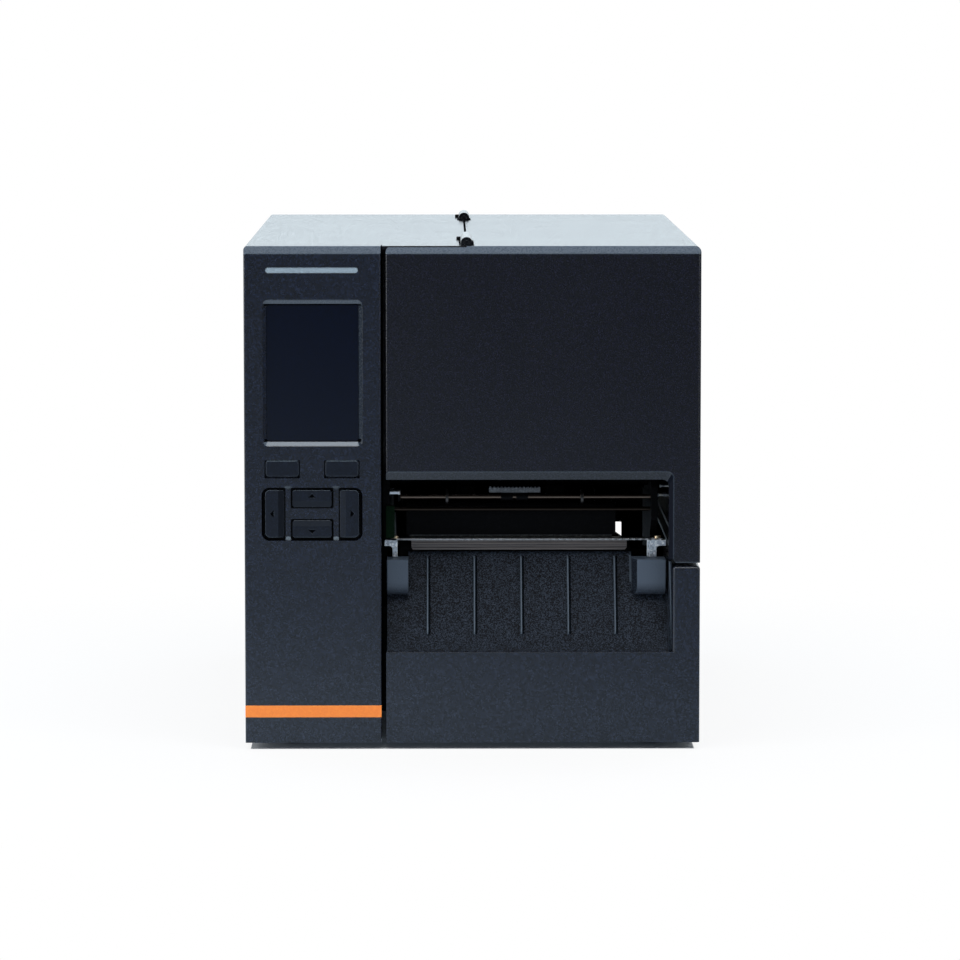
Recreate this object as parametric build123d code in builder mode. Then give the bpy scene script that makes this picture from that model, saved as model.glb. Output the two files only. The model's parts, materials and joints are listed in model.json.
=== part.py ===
"""Industrial label printer: housing, operator panel, lifting media door, print mechanism and feed drive.

Millimetres. The front faces -Y, +X is to the right seen from the front and +Z is up.
The origin lies on the table, under the middle of the housing.
"""

import os
from math import cos, hypot, pi, radians, sin

from build123d import *

# Housing
width = 274.0
depth = 436.0
height = 303.6
foot_height = 4.0
sheet = 2.0
cover_gap = 0.8
seat_gap = 0.3
running_fit = 0.05
overrun = 12.0
left, right = -width / 2, width / 2
front, back = -depth / 2, depth / 2
floor_z = foot_height
top_z = height

# Division of the front: operator panel, seam, then door and lower cover
operator_width = 82.1
seam_width = 2.9
seam_left = left + operator_width
seam_right = seam_left + seam_width
front_chamfer = 3.9
left_edge_radius = 2.2

# Operator panel moulding
panel_depth = 16.0
panel_front_wall = 4.6
panel_side_wall = 3.0
panel_edge_radius = 1.0
panel_cover_y = front + panel_depth + cover_gap

# Status light bar
light_bar_left_from_left = 12.9
light_bar_left = left + light_bar_left_from_left
light_bar_width = 55.7
light_bar_height = 3.6
light_bar_drop = 14.3
light_bar_z = top_z - light_bar_drop
light_bar_depth = 3.0
light_bar_sunk = 0.3

# Display
bezel_left_from_left = 11.1
bezel_left = left + bezel_left_from_left
bezel_width = 60.0
bezel_bottom_drop = 120.1
bezel_bottom = top_z - bezel_bottom_drop
bezel_height = 88.3
bezel_corner = 3.8
bezel_depth = 2.5
bezel_right = bezel_left + bezel_width
bezel_top = bezel_bottom + bezel_height
glass_margin_x = 2.3
glass_margin_z = 3.3
glass_corner = 1.5
glass_thickness = 1.5
glass_ledge = 3.0
glass_fit = 0.15

# Soft keys under the display
soft_key_width = 20.2
soft_key_height = 9.8
soft_key_radius = 1.8
soft_key_drop = 133.4
soft_key_z = top_z - soft_key_drop
soft_key_left_from_left = 22.8
soft_key_left_x = left + soft_key_left_from_left
soft_key_right_from_left = 58.6
soft_key_right_x = left + soft_key_right_from_left
soft_key_edge = 0.4

# Navigation keys in their well
well_left_from_left = 10.9
well_left = left + well_left_from_left
well_width = 59.4
well_bottom_drop = 176.4
well_bottom = top_z - well_bottom_drop
well_height = 31.5
well_corner = 4.8
well_depth = 1.3
well_edge = 1.5
side_key_width = 11.5
middle_key_width = 24.2
middle_key_height = 10.3
key_slope_width = 3.6
key_slope_drop = 1.1
key_corner = 3.0
key_sunk = 0.2
key_fit = 0.3
key_flange = 1.0
key_flange_thickness = 1.5
arrow_length = 2.4
arrow_width = 3.6
arrow_depth = 0.35

# Operator board behind the panel
board_thickness = 1.6
board_setback = 8.6
board_y = front + board_setback
board_margin = 4.0
board_drop = 9.0
switch_size = 6.0
switch_height = 0.9
board_boss_radius = 3.0
board_boss_inset = 3.5
panel_board_left = bezel_left - board_margin
panel_board_right = bezel_right + board_margin
panel_board_bottom = well_bottom - board_drop
panel_board_top = bezel_top + board_margin

# Accent strip
strip_bottom = 19.5
strip_height = 7.2
strip_depth = 1.0

# Base tray and feet
tray_wall = 2.5
tray_height = 17.0
tray_inset = 0.2
foot_radius = 10.0
foot_inset_x = 28.0
foot_inset_y = 34.0

# Centre plate, the chassis that carries the mechanism
plate_thickness = 4.0
plate_left_from_seam = 0.9
plate_left = seam_left + plate_left_from_seam
plate_right = plate_left + plate_thickness
plate_front_setback = 19.6
plate_front = front + plate_front_setback
plate_flange = 9.5
plate_rib = 3.0
notch_bottom = 84.0
notch_top = 135.0
notch_setback = 34.0
notch_y = front + notch_setback

# Fixed top and left cover
hinge_from_left = 133.5
hinge_x = left + hinge_from_left
hinge_gap = 1.4
top_front_setback = 5.3
top_front_y = front + top_front_setback
vent_slot_length = 34.0
vent_slot_width = 3.0
vent_pitch = 7.0
upper_vent_drop = 78.6
upper_vent_z = top_z - upper_vent_drop
lower_vent_z = 120.0
vent_count = 12

# Door
door_sheet = 2.5
door_front_wall = 4.5
door_bottom = 113.1
door_edge_radius = 3.7
corner_radius = 2.0
door_return = 10.0
top_step = 0.7
leg_round = 2.0
exit_top_outer = 168.2
exit_top_inner = 163.2
exit_right_outer_from_right = 16.1
exit_right_outer = right - exit_right_outer_from_right
exit_right_inner_from_right = 18.9
exit_right_inner = right - exit_right_inner_from_right
exit_corner = 4.0
exit_bevel_depth = 2.5
exit_frame_depth = 6.0
exit_frame_wall = 3.0
window_front_setback = 96.0
window_front = front + window_front_setback
window_back_from_back = 62.0
window_back = back - window_back_from_back
window_bottom = 150.0
window_top_drop = 31.6
window_top = top_z - window_top_drop
window_corner = 14.0
window_lap = 6.0
window_thickness = 2.0

# Hinges of the door
barrel_radius = 3.5
barrel_rise = 1.8
hinge_z = top_z + barrel_rise
pin_radius = 1.5
front_hinge_start_setback = 6.0
front_hinge_start = front + front_hinge_start_setback
front_hinge_length = 68.0
rear_hinge_end_from_back = 52.0
rear_hinge_end = back - rear_hinge_end_from_back
rear_hinge_length = 41.0
knuckle_gap = 0.4
leaf_thickness = 1.4
leaf_width = 18.0
notch_clearance = 1.0
bumper_radius = 1.4
bumper_height = 2.2
bumper_offset = 4.5
bumper_gap = 2.4
bumper_x = hinge_x - bumper_offset
front_bumper_y = front_hinge_start + front_hinge_length + bumper_gap
rear_bumper_y = rear_hinge_end + bumper_gap

# Lower covers and exit chute
cover_wall = 3.0
cover_depth = 16.0
lower_top = 111.0
sill_width = 13.0
chute_bottom = 59.0
chute_right_from_right = 16.6
chute_right = right - chute_right_from_right
chute_top = 113.6
apron_top = 116.6
chute_back_setback = 32.0
chute_back_y = front + chute_back_setback
chute_front_y = front + cover_wall
chute_wall = 3.0
cheek_wall = 1.8
chute_lip = 9.0
chute_left_from_seam = 0.4
chute_left = seam_right + chute_left_from_seam
rib_pitch_share = 0.1651
rib_first_share = 0.144
rib_pitch = rib_pitch_share * (chute_right - chute_left)
rib_first_x = chute_left + rib_first_share * (chute_right - chute_left)
rib_count = 5
rib_width = 1.4
rib_height = 1.6
rib_start_share = 0.17
rib_end_share = 0.97
block_front_setback = 12.0
block_front_y = front + block_front_setback
block_bottom = 92.0
left_block_width = 12.8
right_block_width = 20.2
right_block_inset = 3.6
block_flank = 3.0
block_round = 7.0

# Platen roller and the tear-off bar, between the centre plate and the outer bracket
bracket_left_from_right = 29.0
bracket_left = right - bracket_left_from_right
platen_setback = 42.0
platen_y = front + platen_setback
platen_z = 115.0
platen_radius = 9.0
platen_left_from_plate = 6.0
platen_left = plate_right + platen_left_from_plate
platen_end_gap = 12.0
platen_length = bracket_left - platen_end_gap - platen_left
shaft_radius = 4.0
bar_left_from_seam = 15.0
bar_left = seam_right + bar_left_from_seam
bar_bottom = 118.0
bar_top = 124.1
bar_front_setback = 26.4
bar_front_y = front + bar_front_setback
bar_thickness = 4.4
bar_step = 1.4
bar_corner = 1.2
blade_left_from_plate = 3.8
blade_left = plate_right + blade_left_from_plate
blade_right_from_right = 22.2
blade_right = right - blade_right_from_right
blade_thickness = 1.0
blade_front_setback = 25.0
blade_front_y = front + blade_front_setback
blade_depth = 6.6
blade_teeth_pitch = 4.0
blade_tooth = 1.0
mount_front_setback = 25.0
mount_front_y = front + mount_front_setback
mount_back_setback = 32.8
mount_back_y = front + mount_back_setback
left_mount_left_from_seam = 1.2
left_mount_left = seam_right - left_mount_left_from_seam
right_mount_left_from_right = 30.8
right_mount_left = right - right_mount_left_from_right
right_mount_right_from_right = 19.6
right_mount_right = right - right_mount_right_from_right
bar_end_gap = 12.4
bar_width = right_mount_left - bar_end_gap - bar_left
mount_bottom = 114.0
block_top = mount_bottom - seat_gap
mount_head = 3.4
mount_stem_width = 5.6
mount_round = 2.0
left_mount_right_from_seam = 6.6
left_mount_right = seam_right + left_mount_right_from_seam
left_stem_width = 3.0
mount_screw_radius = 2.2
mount_screw_height = 1.3

# Outer bracket and deck
bracket_thickness = 4.0
bracket_right = bracket_left + bracket_thickness
bracket_bottom = 92.0
bracket_top = 172.0
bracket_nose_setback = 17.0
bracket_nose_y = front + bracket_nose_setback
bracket_back_setback = 136.0
bracket_back_y = front + bracket_back_setback
bracket_round = 6.0
deck_top = 108.0
deck_wall = 4.0
deck_front_setback = 34.0
deck_front_y = front + deck_front_setback
deck_step_setback = 54.0
deck_step_y = front + deck_step_setback
deck_back_setback = 130.0
deck_back_y = front + deck_back_setback
guide_front_setback = 63.0
guide_front_y = front + guide_front_setback
guide_back_setback = 113.0
guide_back_y = front + guide_back_setback
guide_from_right = 66.0
guide_x = right - guide_from_right
guide_wall = 3.0
guide_foot = 11.0
guide_foot_height = 2.0
guide_height = 8.0

# Print head
head_left_from_plate = 10.0
head_left = plate_right + head_left_from_plate
head_right_from_right = 50.0
head_right = right - head_right_from_right
head_gap = 0.3
head_front_setback = 34.0
head_front_y = front + head_front_setback
head_back_setback = 60.0
head_back_y = front + head_back_setback
head_block_height = 6.7
head_inset = 2.0
head_plate = 5.0
head_plate_back_setback = 118.0
head_plate_back_y = front + head_plate_back_setback
pivot_setback = 123.0
pivot_y = front + pivot_setback
pivot_z = 150.0
sleeve_radius = 8.0
sleeve_length = 10.0
cam_setback = 63.0
cam_y = front + cam_setback
cam_z = 158.0
cam_offset = 10.0
cam_tip = 4.0
cam_gap = 0.8
cam_width = 11.0
pad_width = 19.0
pad_depth = 16.0
first_cam_share = 0.2835
second_cam_share = 0.7165
first_cam_x = head_left + first_cam_share * (head_right - head_left)
second_cam_x = head_left + second_cam_share * (head_right - head_left)
head_cover_front_setback = 29.5
head_cover_front_y = front + head_cover_front_setback
head_cover_back_setback = 46.0
head_cover_back_y = front + head_cover_back_setback
head_cover_wall = 2.0
head_cover_bottom = 127.0
head_cover_top = 146.0
lever_left_from_bracket = 1.0
lever_left = bracket_right + lever_left_from_bracket
lever_thickness = 7.0
lever_hub = 9.0
lever_length = 45.0
lever_angle = 35.0
lever_grip = 7.0
lever_grip_length = 16.0

# Ribbon rods at the exit, and what hangs on them
rod_radius = 1.3
rod_span = bracket_left - plate_right
front_rod_setback = 22.0
front_rod_y = front + front_rod_setback
front_rod_z = 151.1
lower_rod_setback = 26.0
lower_rod_y = front + lower_rod_setback
lower_rod_z = 143.2
clip_radius = 4.6
clip_width = 1.6
first_clip_share = 0.2196
first_clip_x = plate_right + first_clip_share * rod_span
second_clip_share = 0.7367
second_clip_x = plate_right + second_clip_share * rod_span
rod_sensor_share = 0.4266
rod_sensor_x = plate_right + rod_sensor_share * rod_span
rod_sensor_width = 16.3
rod_sensor_split = 2.1
rod_sensor_height = 4.6
strip_comb_share = 0.3804
strip_comb_left = plate_right + strip_comb_share * rod_span
strip_comb_width = 31.0
strip_comb_bottom = 153.8
strip_comb_height = 2.4
strip_comb_depth = 5.0
comb_count = 14
comb_radius = 0.9
tab_right_from_plate = 6.6
tab_right = plate_right + tab_right_from_plate
tab_z = 154.6
tab_thickness = 1.5
tab_front_setback = 17.4
tab_front_y = front + tab_front_setback
tab_back_setback = 29.0
tab_back_y = front + tab_back_setback
tab_drop = 6.0
green_left_from_seam = 0.3
green_left = seam_right - green_left_from_seam
green_width = 5.3
green_bottom = 126.2
green_height = 19.6

# Ribbon spindles
supply_setback = 198.0
supply_y = front + supply_setback
take_up_setback = 83.0
take_up_y = front + take_up_setback
spindle_drop = 71.6
spindle_z = top_z - spindle_drop
spindle_radius = 12.0
spindle_length = 118.0
spindle_flange_radius = 21.0
spindle_flange = 3.0
spindle_blade = 2.5
spindle_blade_height = 1.6
spindle_blades = 3
spindle_shaft_radius = 3.0
spindle_shaft_end = 9.0
spindle_collar_radius = 8.0
spindle_collar = 8.0

# Media hanger and its guard
hanger_setback = 318.0
hanger_y = front + hanger_setback
hanger_z = 140.0
hanger_radius = 19.0
hanger_wall = 3.0
hanger_length = 154.0
hanger_flange_radius = 30.0
hanger_flange = 5.0
guard_inset = 14.0
guard_x = plate_right + hanger_length - guard_inset
guard_width = 8.0
guard_ring = 5.0
guard_plate = 4.0
guard_plate_width = 26.0
guard_height = 66.0

# Damper arm under the media path
damper_setback = 148.0
damper_y = front + damper_setback
damper_z = 76.0
damper_bar_setback = 188.0
damper_bar_y = front + damper_bar_setback
damper_bar_z = 62.0
damper_pin_radius = 4.0
damper_pin_length = 10.0
damper_hub_radius = 8.0
damper_arm_width = 8.0
damper_bar_radius = 6.0
damper_bar_length = 121.0

# Feed drive in the electronics bay
gear_module = 1.25
platen_teeth = 24
idler_teeth = 40
pinion_teeth = 16
gear_addendum = 1.06
gear_dedendum = 1.44
tooth_root_share = 0.30
tooth_tip_share = 0.13
gear_width = 6.0
gear_right_from_plate = 6.0
gear_right = plate_left - gear_right_from_plate
gear_left = gear_right - gear_width
mesh_gap = 0.1
idler_direction = 20.0
pinion_direction = 0.0
idler_pin_radius = 4.0
idler_web = 3.0
idler_rim = 4.0
motor_size = 57.0
motor_length = 50.0
motor_right_from_plate = 22.0
motor_right = plate_left - motor_right_from_plate
motor_corner = 5.0
motor_flange = 3.0
motor_flange_height = 72.0
motor_boss_y = 23.0
motor_boss_z = 31.0
motor_boss_radius = 4.0
motor_shaft_radius = 2.5
platen_gear_radius = gear_module * platen_teeth / 2
idler_radius = gear_module * idler_teeth / 2
pinion_radius = gear_module * pinion_teeth / 2
idler_distance = platen_gear_radius + idler_radius + mesh_gap
idler_y = platen_y + idler_distance * cos(radians(idler_direction))
idler_z = platen_z + idler_distance * sin(radians(idler_direction))
pinion_distance = idler_radius + pinion_radius + mesh_gap
pinion_y = idler_y + pinion_distance * cos(radians(pinion_direction))
pinion_z = idler_z + pinion_distance * sin(radians(pinion_direction))

# Electronics and rear panel
main_board_front_setback = 160.0
main_board_front_y = front + main_board_front_setback
main_board_back_from_back = 4.0
main_board_back_y = back - main_board_back_from_back
main_board_bottom = 120.0
main_board_top_drop = 21.6
main_board_top = top_z - main_board_top_drop
main_board_stand = 10.0
main_boss_radius = 4.0
main_boss_inset = 8.0
port_depth = 18.0
port_width = 16.0
ethernet_bottom = 150.0
ethernet_height = 13.5
usb_bottom = 190.0
usb_height = 11.0
usb_width = 12.0
port_shapes = (
    (ethernet_bottom, ethernet_height, port_width),
    (usb_bottom, usb_height, usb_width),
)
port_wall = 1.0
port_plate = 1.5
port_plate_margin = 4.0
port_plate_lap = 2.0
port_right = plate_left - main_board_stand - board_thickness
port_socket_depth = 10.0
supply_left_from_left = 7.0
supply_left = left + supply_left_from_left
supply_width = 62.0
supply_front_setback = 248.0
supply_front_y = front + supply_front_setback
supply_back_from_back = 34.0
supply_back_y = back - supply_back_from_back
supply_height = 54.0
supply_wall = 1.5
inlet_left_from_left = 15.0
inlet_left = left + inlet_left_from_left
inlet_width = 52.0
inlet_bottom = 70.0
inlet_height = 30.0
inlet_right = inlet_left + inlet_width
inlet_top = inlet_bottom + inlet_height
inlet_depth = 28.0
plug_width = 24.5
plug_height = 17.0
plug_depth = 16.0
plug_in_inlet = 17.0
plug_x = inlet_left + plug_in_inlet
plug_pin_width = 2.0
plug_pin_height = 4.2
plug_pin_length = 13.0
plug_pin_pitch = 7.0
rocker_in_inlet = 42.0
rocker_x = inlet_left + rocker_in_inlet
rocker_width = 12.0
rocker_height = 19.0
rocker_depth = 16.0
rocker_fit = 0.5
rocker_pivot_from_back = 6.0
rocker_pivot_y = back - rocker_pivot_from_back
rocker_angle = 9.0
rear_sheet = 2.0
rear_inset = 2.8
slot_bottom = 76.0
slot_top = 91.3
slot_left_from_plate = 10.0
slot_left = plate_right + slot_left_from_plate
slot_right_from_right = 30.8
slot_right = right - slot_right_from_right
rear_vent_left_from_left = 24.0
rear_vent_left = left + rear_vent_left_from_left
rear_vent_count = 8
rear_vent_length = 38.0
rear_vent_top_drop = 8.6
rear_vent_top = top_z - rear_vent_top_drop
rear_flange = 8.0
inner_back_y = back - rear_sheet - seat_gap


def facing(y):
    """The plane that faces the front at y, with X to the right and Z up.

    Extruding by a negative amount goes towards the back.
    """
    return Plane(origin=(0, y, 0), x_dir=(1, 0, 0), z_dir=(0, -1, 0))


def side_on(x):
    """The plane across the printer at x, with Y to the right and Z up. Extruding goes towards +X."""
    return Plane(origin=(x, 0, 0), x_dir=(0, 1, 0), z_dir=(1, 0, 0))


def panel(u0, u1, v0, v1, radius=0, mode=Mode.ADD):
    """A rectangle between two corners of the open sketch, with rounded corners if a radius is given."""
    with Locations(((u0 + u1) / 2, (v0 + v1) / 2)):
        if radius:
            RectangleRounded(u1 - u0, v1 - v0, radius, mode=mode)
        else:
            Rectangle(u1 - u0, v1 - v0, mode=mode)


def block(x0, x1, y0, y1, z0, z1, mode=Mode.ADD):
    """A block between two corners, in the open part."""
    with Locations(((x0 + x1) / 2, (y0 + y1) / 2, (z0 + z1) / 2)):
        Box(x1 - x0, y1 - y0, z1 - z0, mode=mode)


def rod(x0, x1, y, z, radius, mode=Mode.ADD):
    """A round bar along X, in the open part."""
    with Locations(Location(((x0 + x1) / 2, y, z), (0, 90, 0))):
        Cylinder(radius, x1 - x0, mode=mode)


def outline(points):
    """A closed straight-sided face in the open sketch."""
    Polygon(*points, align=None)


def edges_at(part, axis, **places):
    """The straight edges along an axis whose middle has the given coordinates."""
    found = part.edges().filter_by(axis)
    for name, place in places.items():
        found = found.filter_by(lambda e: abs(getattr(e.center(), name) - place) < seat_gap)
    return found


nodes = {}


def keep(name, piece):
    """Names a finished piece and lists it for export."""
    piece.part.label = name
    nodes[name] = piece.part


# Operator panel pieces


def key_outlines():
    """Each key's left, right, bottom and top, and the side on which it slopes into the well."""
    keys_left = well_left + well_edge
    keys_right = well_left + well_width - well_edge
    keys_bottom = well_bottom + well_edge
    keys_top = well_bottom + well_height - well_edge
    middle = (keys_left + keys_right) / 2
    half = middle_key_width / 2
    return {
        "left_key": (keys_left, keys_left + side_key_width, keys_bottom, keys_top, "right"),
        "right_key": (keys_right - side_key_width, keys_right, keys_bottom, keys_top, "left"),
        "up_key": (middle - half, middle + half, keys_top - middle_key_height, keys_top, "bottom"),
        "down_key": (middle - half, middle + half, keys_bottom, keys_bottom + middle_key_height, "top"),
    }


def soft_key_outlines():
    """The left, right, bottom and top of the two soft keys under the display."""
    half_w, half_h = soft_key_width / 2, soft_key_height / 2
    bottom, top = soft_key_z - half_h, soft_key_z + half_h
    return {
        "left_soft_key": (soft_key_left_x - half_w, soft_key_left_x + half_w, bottom, top),
        "right_soft_key": (soft_key_right_x - half_w, soft_key_right_x + half_w, bottom, top),
    }


def build_front_panel():
    """The moulded front of the electronics bay, with bezel, key openings, light slot and strip groove."""
    inner_y = front + panel_front_wall
    with BuildPart() as moulding:
        block(left, seam_left, front, front + panel_depth, floor_z, top_z)
        chamfer(edges_at(moulding, Axis.X, Y=front, Z=top_z), front_chamfer)
        for x in (left, seam_left):
            fillet(edges_at(moulding, Axis.Z, X=x, Y=front), panel_edge_radius)
        fillet(edges_at(moulding, Axis.Y, X=left, Z=top_z), left_edge_radius)
        block(
            left + panel_side_wall,
            seam_left - panel_side_wall,
            inner_y,
            front + panel_depth + overrun,
            floor_z + panel_side_wall,
            top_z - panel_side_wall - front_chamfer / 2,
            mode=Mode.SUBTRACT,
        )
        with BuildSketch(facing(front)):
            panel(bezel_left, bezel_right, bezel_bottom, bezel_top, bezel_corner)
        with BuildSketch(facing(front + bezel_depth)):
            panel(
                bezel_left + glass_margin_x,
                bezel_right - glass_margin_x,
                bezel_bottom + glass_margin_z,
                bezel_top - glass_margin_z,
                glass_corner,
            )
        loft(mode=Mode.SUBTRACT)
        with BuildSketch(facing(front + bezel_depth)):
            panel(
                bezel_left + glass_margin_x,
                bezel_right - glass_margin_x,
                bezel_bottom + glass_margin_z,
                bezel_top - glass_margin_z,
                glass_corner,
            )
        extrude(amount=-glass_thickness, mode=Mode.SUBTRACT)
        with BuildSketch(facing(front + bezel_depth)):
            panel(
                bezel_left + glass_margin_x + glass_ledge,
                bezel_right - glass_margin_x - glass_ledge,
                bezel_bottom + glass_margin_z + glass_ledge,
                bezel_top - glass_margin_z - glass_ledge,
            )
        extrude(amount=-panel_front_wall, mode=Mode.SUBTRACT)
        with BuildSketch(facing(front)):
            with Locations((light_bar_left + light_bar_width / 2, light_bar_z)):
                SlotOverall(light_bar_width, light_bar_height)
        extrude(amount=-light_bar_depth, mode=Mode.SUBTRACT)
        with BuildSketch(facing(front)):
            panel(well_left, well_left + well_width, well_bottom, well_bottom + well_height, well_corner)
        extrude(amount=-well_depth, mode=Mode.SUBTRACT)
        with BuildSketch(facing(front)):
            for x0, x1, z0, z1, _ in key_outlines().values():
                panel(x0 - key_fit, x1 + key_fit, z0 - key_fit, z1 + key_fit)
            for x0, x1, z0, z1 in soft_key_outlines().values():
                panel(x0 - key_fit, x1 + key_fit, z0 - key_fit, z1 + key_fit, soft_key_radius + key_fit)
        extrude(amount=-panel_front_wall - panel_side_wall, mode=Mode.SUBTRACT)
        block(
            left - overrun,
            seam_left + overrun,
            front - overrun,
            front + strip_depth,
            strip_bottom,
            strip_bottom + strip_height,
            mode=Mode.SUBTRACT,
        )
        with BuildSketch(facing(inner_y)):
            for x in (panel_board_left + board_boss_inset, panel_board_right - board_boss_inset):
                for z in (panel_board_bottom + board_boss_inset, panel_board_top - board_boss_inset):
                    with Locations((x, z)):
                        Circle(board_boss_radius)
        extrude(amount=-(board_y - inner_y))
    keep("front_panel", moulding)


def build_panel_trim():
    """The accent strip, the light bar and the display glass, each in its recess."""
    with BuildPart() as strip:
        block(left, seam_left, front, front + strip_depth, strip_bottom, strip_bottom + strip_height)
    keep("accent_strip", strip)
    with BuildPart() as light:
        with BuildSketch(facing(front + light_bar_sunk)):
            with Locations((light_bar_left + light_bar_width / 2, light_bar_z)):
                SlotOverall(light_bar_width - 2 * glass_fit, light_bar_height - 2 * glass_fit)
        extrude(amount=-(light_bar_depth - light_bar_sunk))
    keep("status_light_bar", light)
    with BuildPart() as glass:
        with BuildSketch(facing(front + bezel_depth)):
            panel(
                bezel_left + glass_margin_x + glass_fit,
                bezel_right - glass_margin_x - glass_fit,
                bezel_bottom + glass_margin_z + glass_fit,
                bezel_top - glass_margin_z - glass_fit,
                glass_corner,
            )
        extrude(amount=-glass_thickness)
    keep("display_glass", glass)


def build_operator_board():
    """The board behind the panel, which carries the display module and the key switches."""
    keys = (*key_outlines().values(), *soft_key_outlines().values())
    centres = [((x0 + x1) / 2, (z0 + z1) / 2) for x0, x1, z0, z1, *_ in keys]
    inset = glass_margin_x + glass_ledge + seat_gap
    inset_z = glass_margin_z + glass_ledge + seat_gap
    with BuildPart() as board:
        block(
            panel_board_left,
            panel_board_right,
            board_y,
            board_y + board_thickness,
            panel_board_bottom,
            panel_board_top,
        )
        block(
            bezel_left + inset,
            bezel_right - inset,
            front + bezel_depth + glass_thickness + seat_gap,
            board_y,
            bezel_bottom + inset_z,
            bezel_top - inset_z,
        )
        with BuildSketch(facing(board_y)):
            with Locations(*centres):
                Rectangle(switch_size, switch_size)
        extrude(amount=switch_height)
    keep("operator_board", board)


def build_nav_key(name, x0, x1, z0, z1, slope):
    """One navigation key: a flat face, one side sloping into the well, an arrow and a retaining flange."""
    face_y = front + key_sunk
    low_y = face_y + key_slope_drop
    inner_y = front + panel_front_wall
    flange_y = inner_y + seat_gap
    with BuildPart() as key:
        block(x0, x1, face_y, flange_y, z0, z1)
        if slope in ("left", "right"):
            edge = x1 if slope == "right" else x0
            crease = x1 - key_slope_width if slope == "right" else x0 + key_slope_width
            with BuildSketch(Plane.XY.offset(z0)):
                outline([(crease, face_y), (edge, face_y), (edge, low_y)])
            extrude(amount=z1 - z0, mode=Mode.SUBTRACT)
            outer = x0 if slope == "right" else x1
            fillet(edges_at(key, Axis.Y, X=outer), key_corner)
        else:
            edge = z1 if slope == "top" else z0
            crease = z1 - key_slope_width if slope == "top" else z0 + key_slope_width
            with BuildSketch(side_on(x0)):
                outline([(face_y, crease), (face_y, edge), (low_y, edge)])
            extrude(amount=x1 - x0, mode=Mode.SUBTRACT)
            outer = z0 if slope == "top" else z1
            fillet(edges_at(key, Axis.Y, Z=outer), soft_key_radius)
        block(
            x0 - key_flange,
            x1 + key_flange,
            flange_y,
            flange_y + key_flange_thickness,
            z0 - key_flange,
            z1 + key_flange,
        )
        turn = {"right": 180, "left": 0, "bottom": 90, "top": -90}[slope]
        centre_x = (x0 + x1 - key_slope_width) / 2 if slope == "right" else (x0 + x1 + key_slope_width) / 2
        centre_z = (z0 + z1 - key_slope_width) / 2 if slope == "top" else (z0 + z1 + key_slope_width) / 2
        place = (centre_x, (z0 + z1) / 2) if slope in ("left", "right") else ((x0 + x1) / 2, centre_z)
        tip = arrow_length / 2
        with BuildSketch(facing(face_y)):
            with Locations(Location((*place, 0), turn)):
                Polygon((-tip, -arrow_width / 2), (tip, 0), (-tip, arrow_width / 2), align=None)
        extrude(amount=-arrow_depth, mode=Mode.SUBTRACT)
    keep(name, key)


def build_soft_key(name, x0, x1, z0, z1):
    """One soft key: a rounded bar with the flange that holds it behind the panel."""
    inner_y = front + panel_front_wall
    flange_y = inner_y + seat_gap
    with BuildPart() as key:
        with BuildSketch(facing(front)):
            panel(x0, x1, z0, z1, soft_key_radius)
        extrude(amount=-(panel_front_wall + seat_gap))
        chamfer(key.faces().sort_by(Axis.Y)[0].edges(), soft_key_edge)
        block(
            x0 - key_flange,
            x1 + key_flange,
            flange_y,
            flange_y + key_flange_thickness,
            z0 - key_flange,
            z1 + key_flange,
        )
    keep(name, key)


# Housing pieces


def build_base():
    """The base tray that everything stands in, and its four feet."""
    with BuildPart() as tray:
        block(
            left + sheet + tray_inset,
            right - sheet - tray_inset,
            front + panel_depth + cover_gap,
            back - rear_sheet - tray_inset,
            floor_z,
            floor_z + tray_height,
        )
        fillet(tray.edges().filter_by(Axis.Z), corner_radius)
        offset(amount=-tray_wall, openings=tray.faces().sort_by(Axis.Z)[-1])
    keep("base_tray", tray)
    with BuildPart() as feet:
        with BuildSketch():
            for x in (left + foot_inset_x, right - foot_inset_x):
                for y in (front + foot_inset_y, back - foot_inset_y):
                    with Locations((x, y)):
                        Circle(foot_radius)
        extrude(amount=foot_height)
    keep("feet", feet)


def build_centre_plate():
    """The upright cast plate between electronics and media, with its flanges, bosses and shaft holes."""
    bottom = floor_z + tray_wall
    plate_top = top_z - sheet
    plate_back = back - rear_sheet - tray_inset - tray_wall - seat_gap
    with BuildPart() as plate:
        with BuildSketch(side_on(plate_left)):
            panel(plate_front, plate_back, bottom, plate_top)
            panel(plate_front - overrun, notch_y, notch_bottom, notch_top, mode=Mode.SUBTRACT)
        extrude(amount=plate_thickness)
        for z0, z1 in ((bottom, bottom + plate_rib), (plate_top - plate_rib, plate_top)):
            block(plate_left - plate_flange, plate_left, panel_cover_y + tray_wall, plate_back, z0, z1)
        block(
            plate_left - plate_flange,
            plate_left,
            plate_back - plate_rib,
            plate_back,
            bottom,
            plate_top,
        )
        rod(gear_left - seat_gap, plate_left, idler_y, idler_z, idler_pin_radius)
        rod(gear_right + seat_gap, plate_left, idler_y, idler_z, idler_pin_radius + idler_web)
        for y in (pinion_y - motor_boss_y, pinion_y + motor_boss_y):
            for z in (pinion_z - motor_boss_z, pinion_z + motor_boss_z):
                rod(motor_right, plate_left, y, z, motor_boss_radius)
        for y in (main_board_front_y + main_boss_inset, main_board_back_y - main_boss_inset):
            for z in (main_board_bottom + main_boss_inset, main_board_top - main_boss_inset):
                rod(plate_left - main_board_stand, plate_left, y, z, main_boss_radius)
        rod(plate_right, plate_right + damper_pin_length, damper_y, damper_z, damper_pin_radius)
        with BuildSketch(side_on(plate_left - overrun)):
            with Locations((platen_y, platen_z), (cam_y, cam_z), (pivot_y, pivot_z)):
                Circle(shaft_radius + running_fit)
            with Locations((supply_y, spindle_z), (take_up_y, spindle_z)):
                Circle(spindle_shaft_radius + running_fit)
        extrude(amount=overrun + plate_thickness, mode=Mode.SUBTRACT)
    keep("centre_plate", plate)


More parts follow.
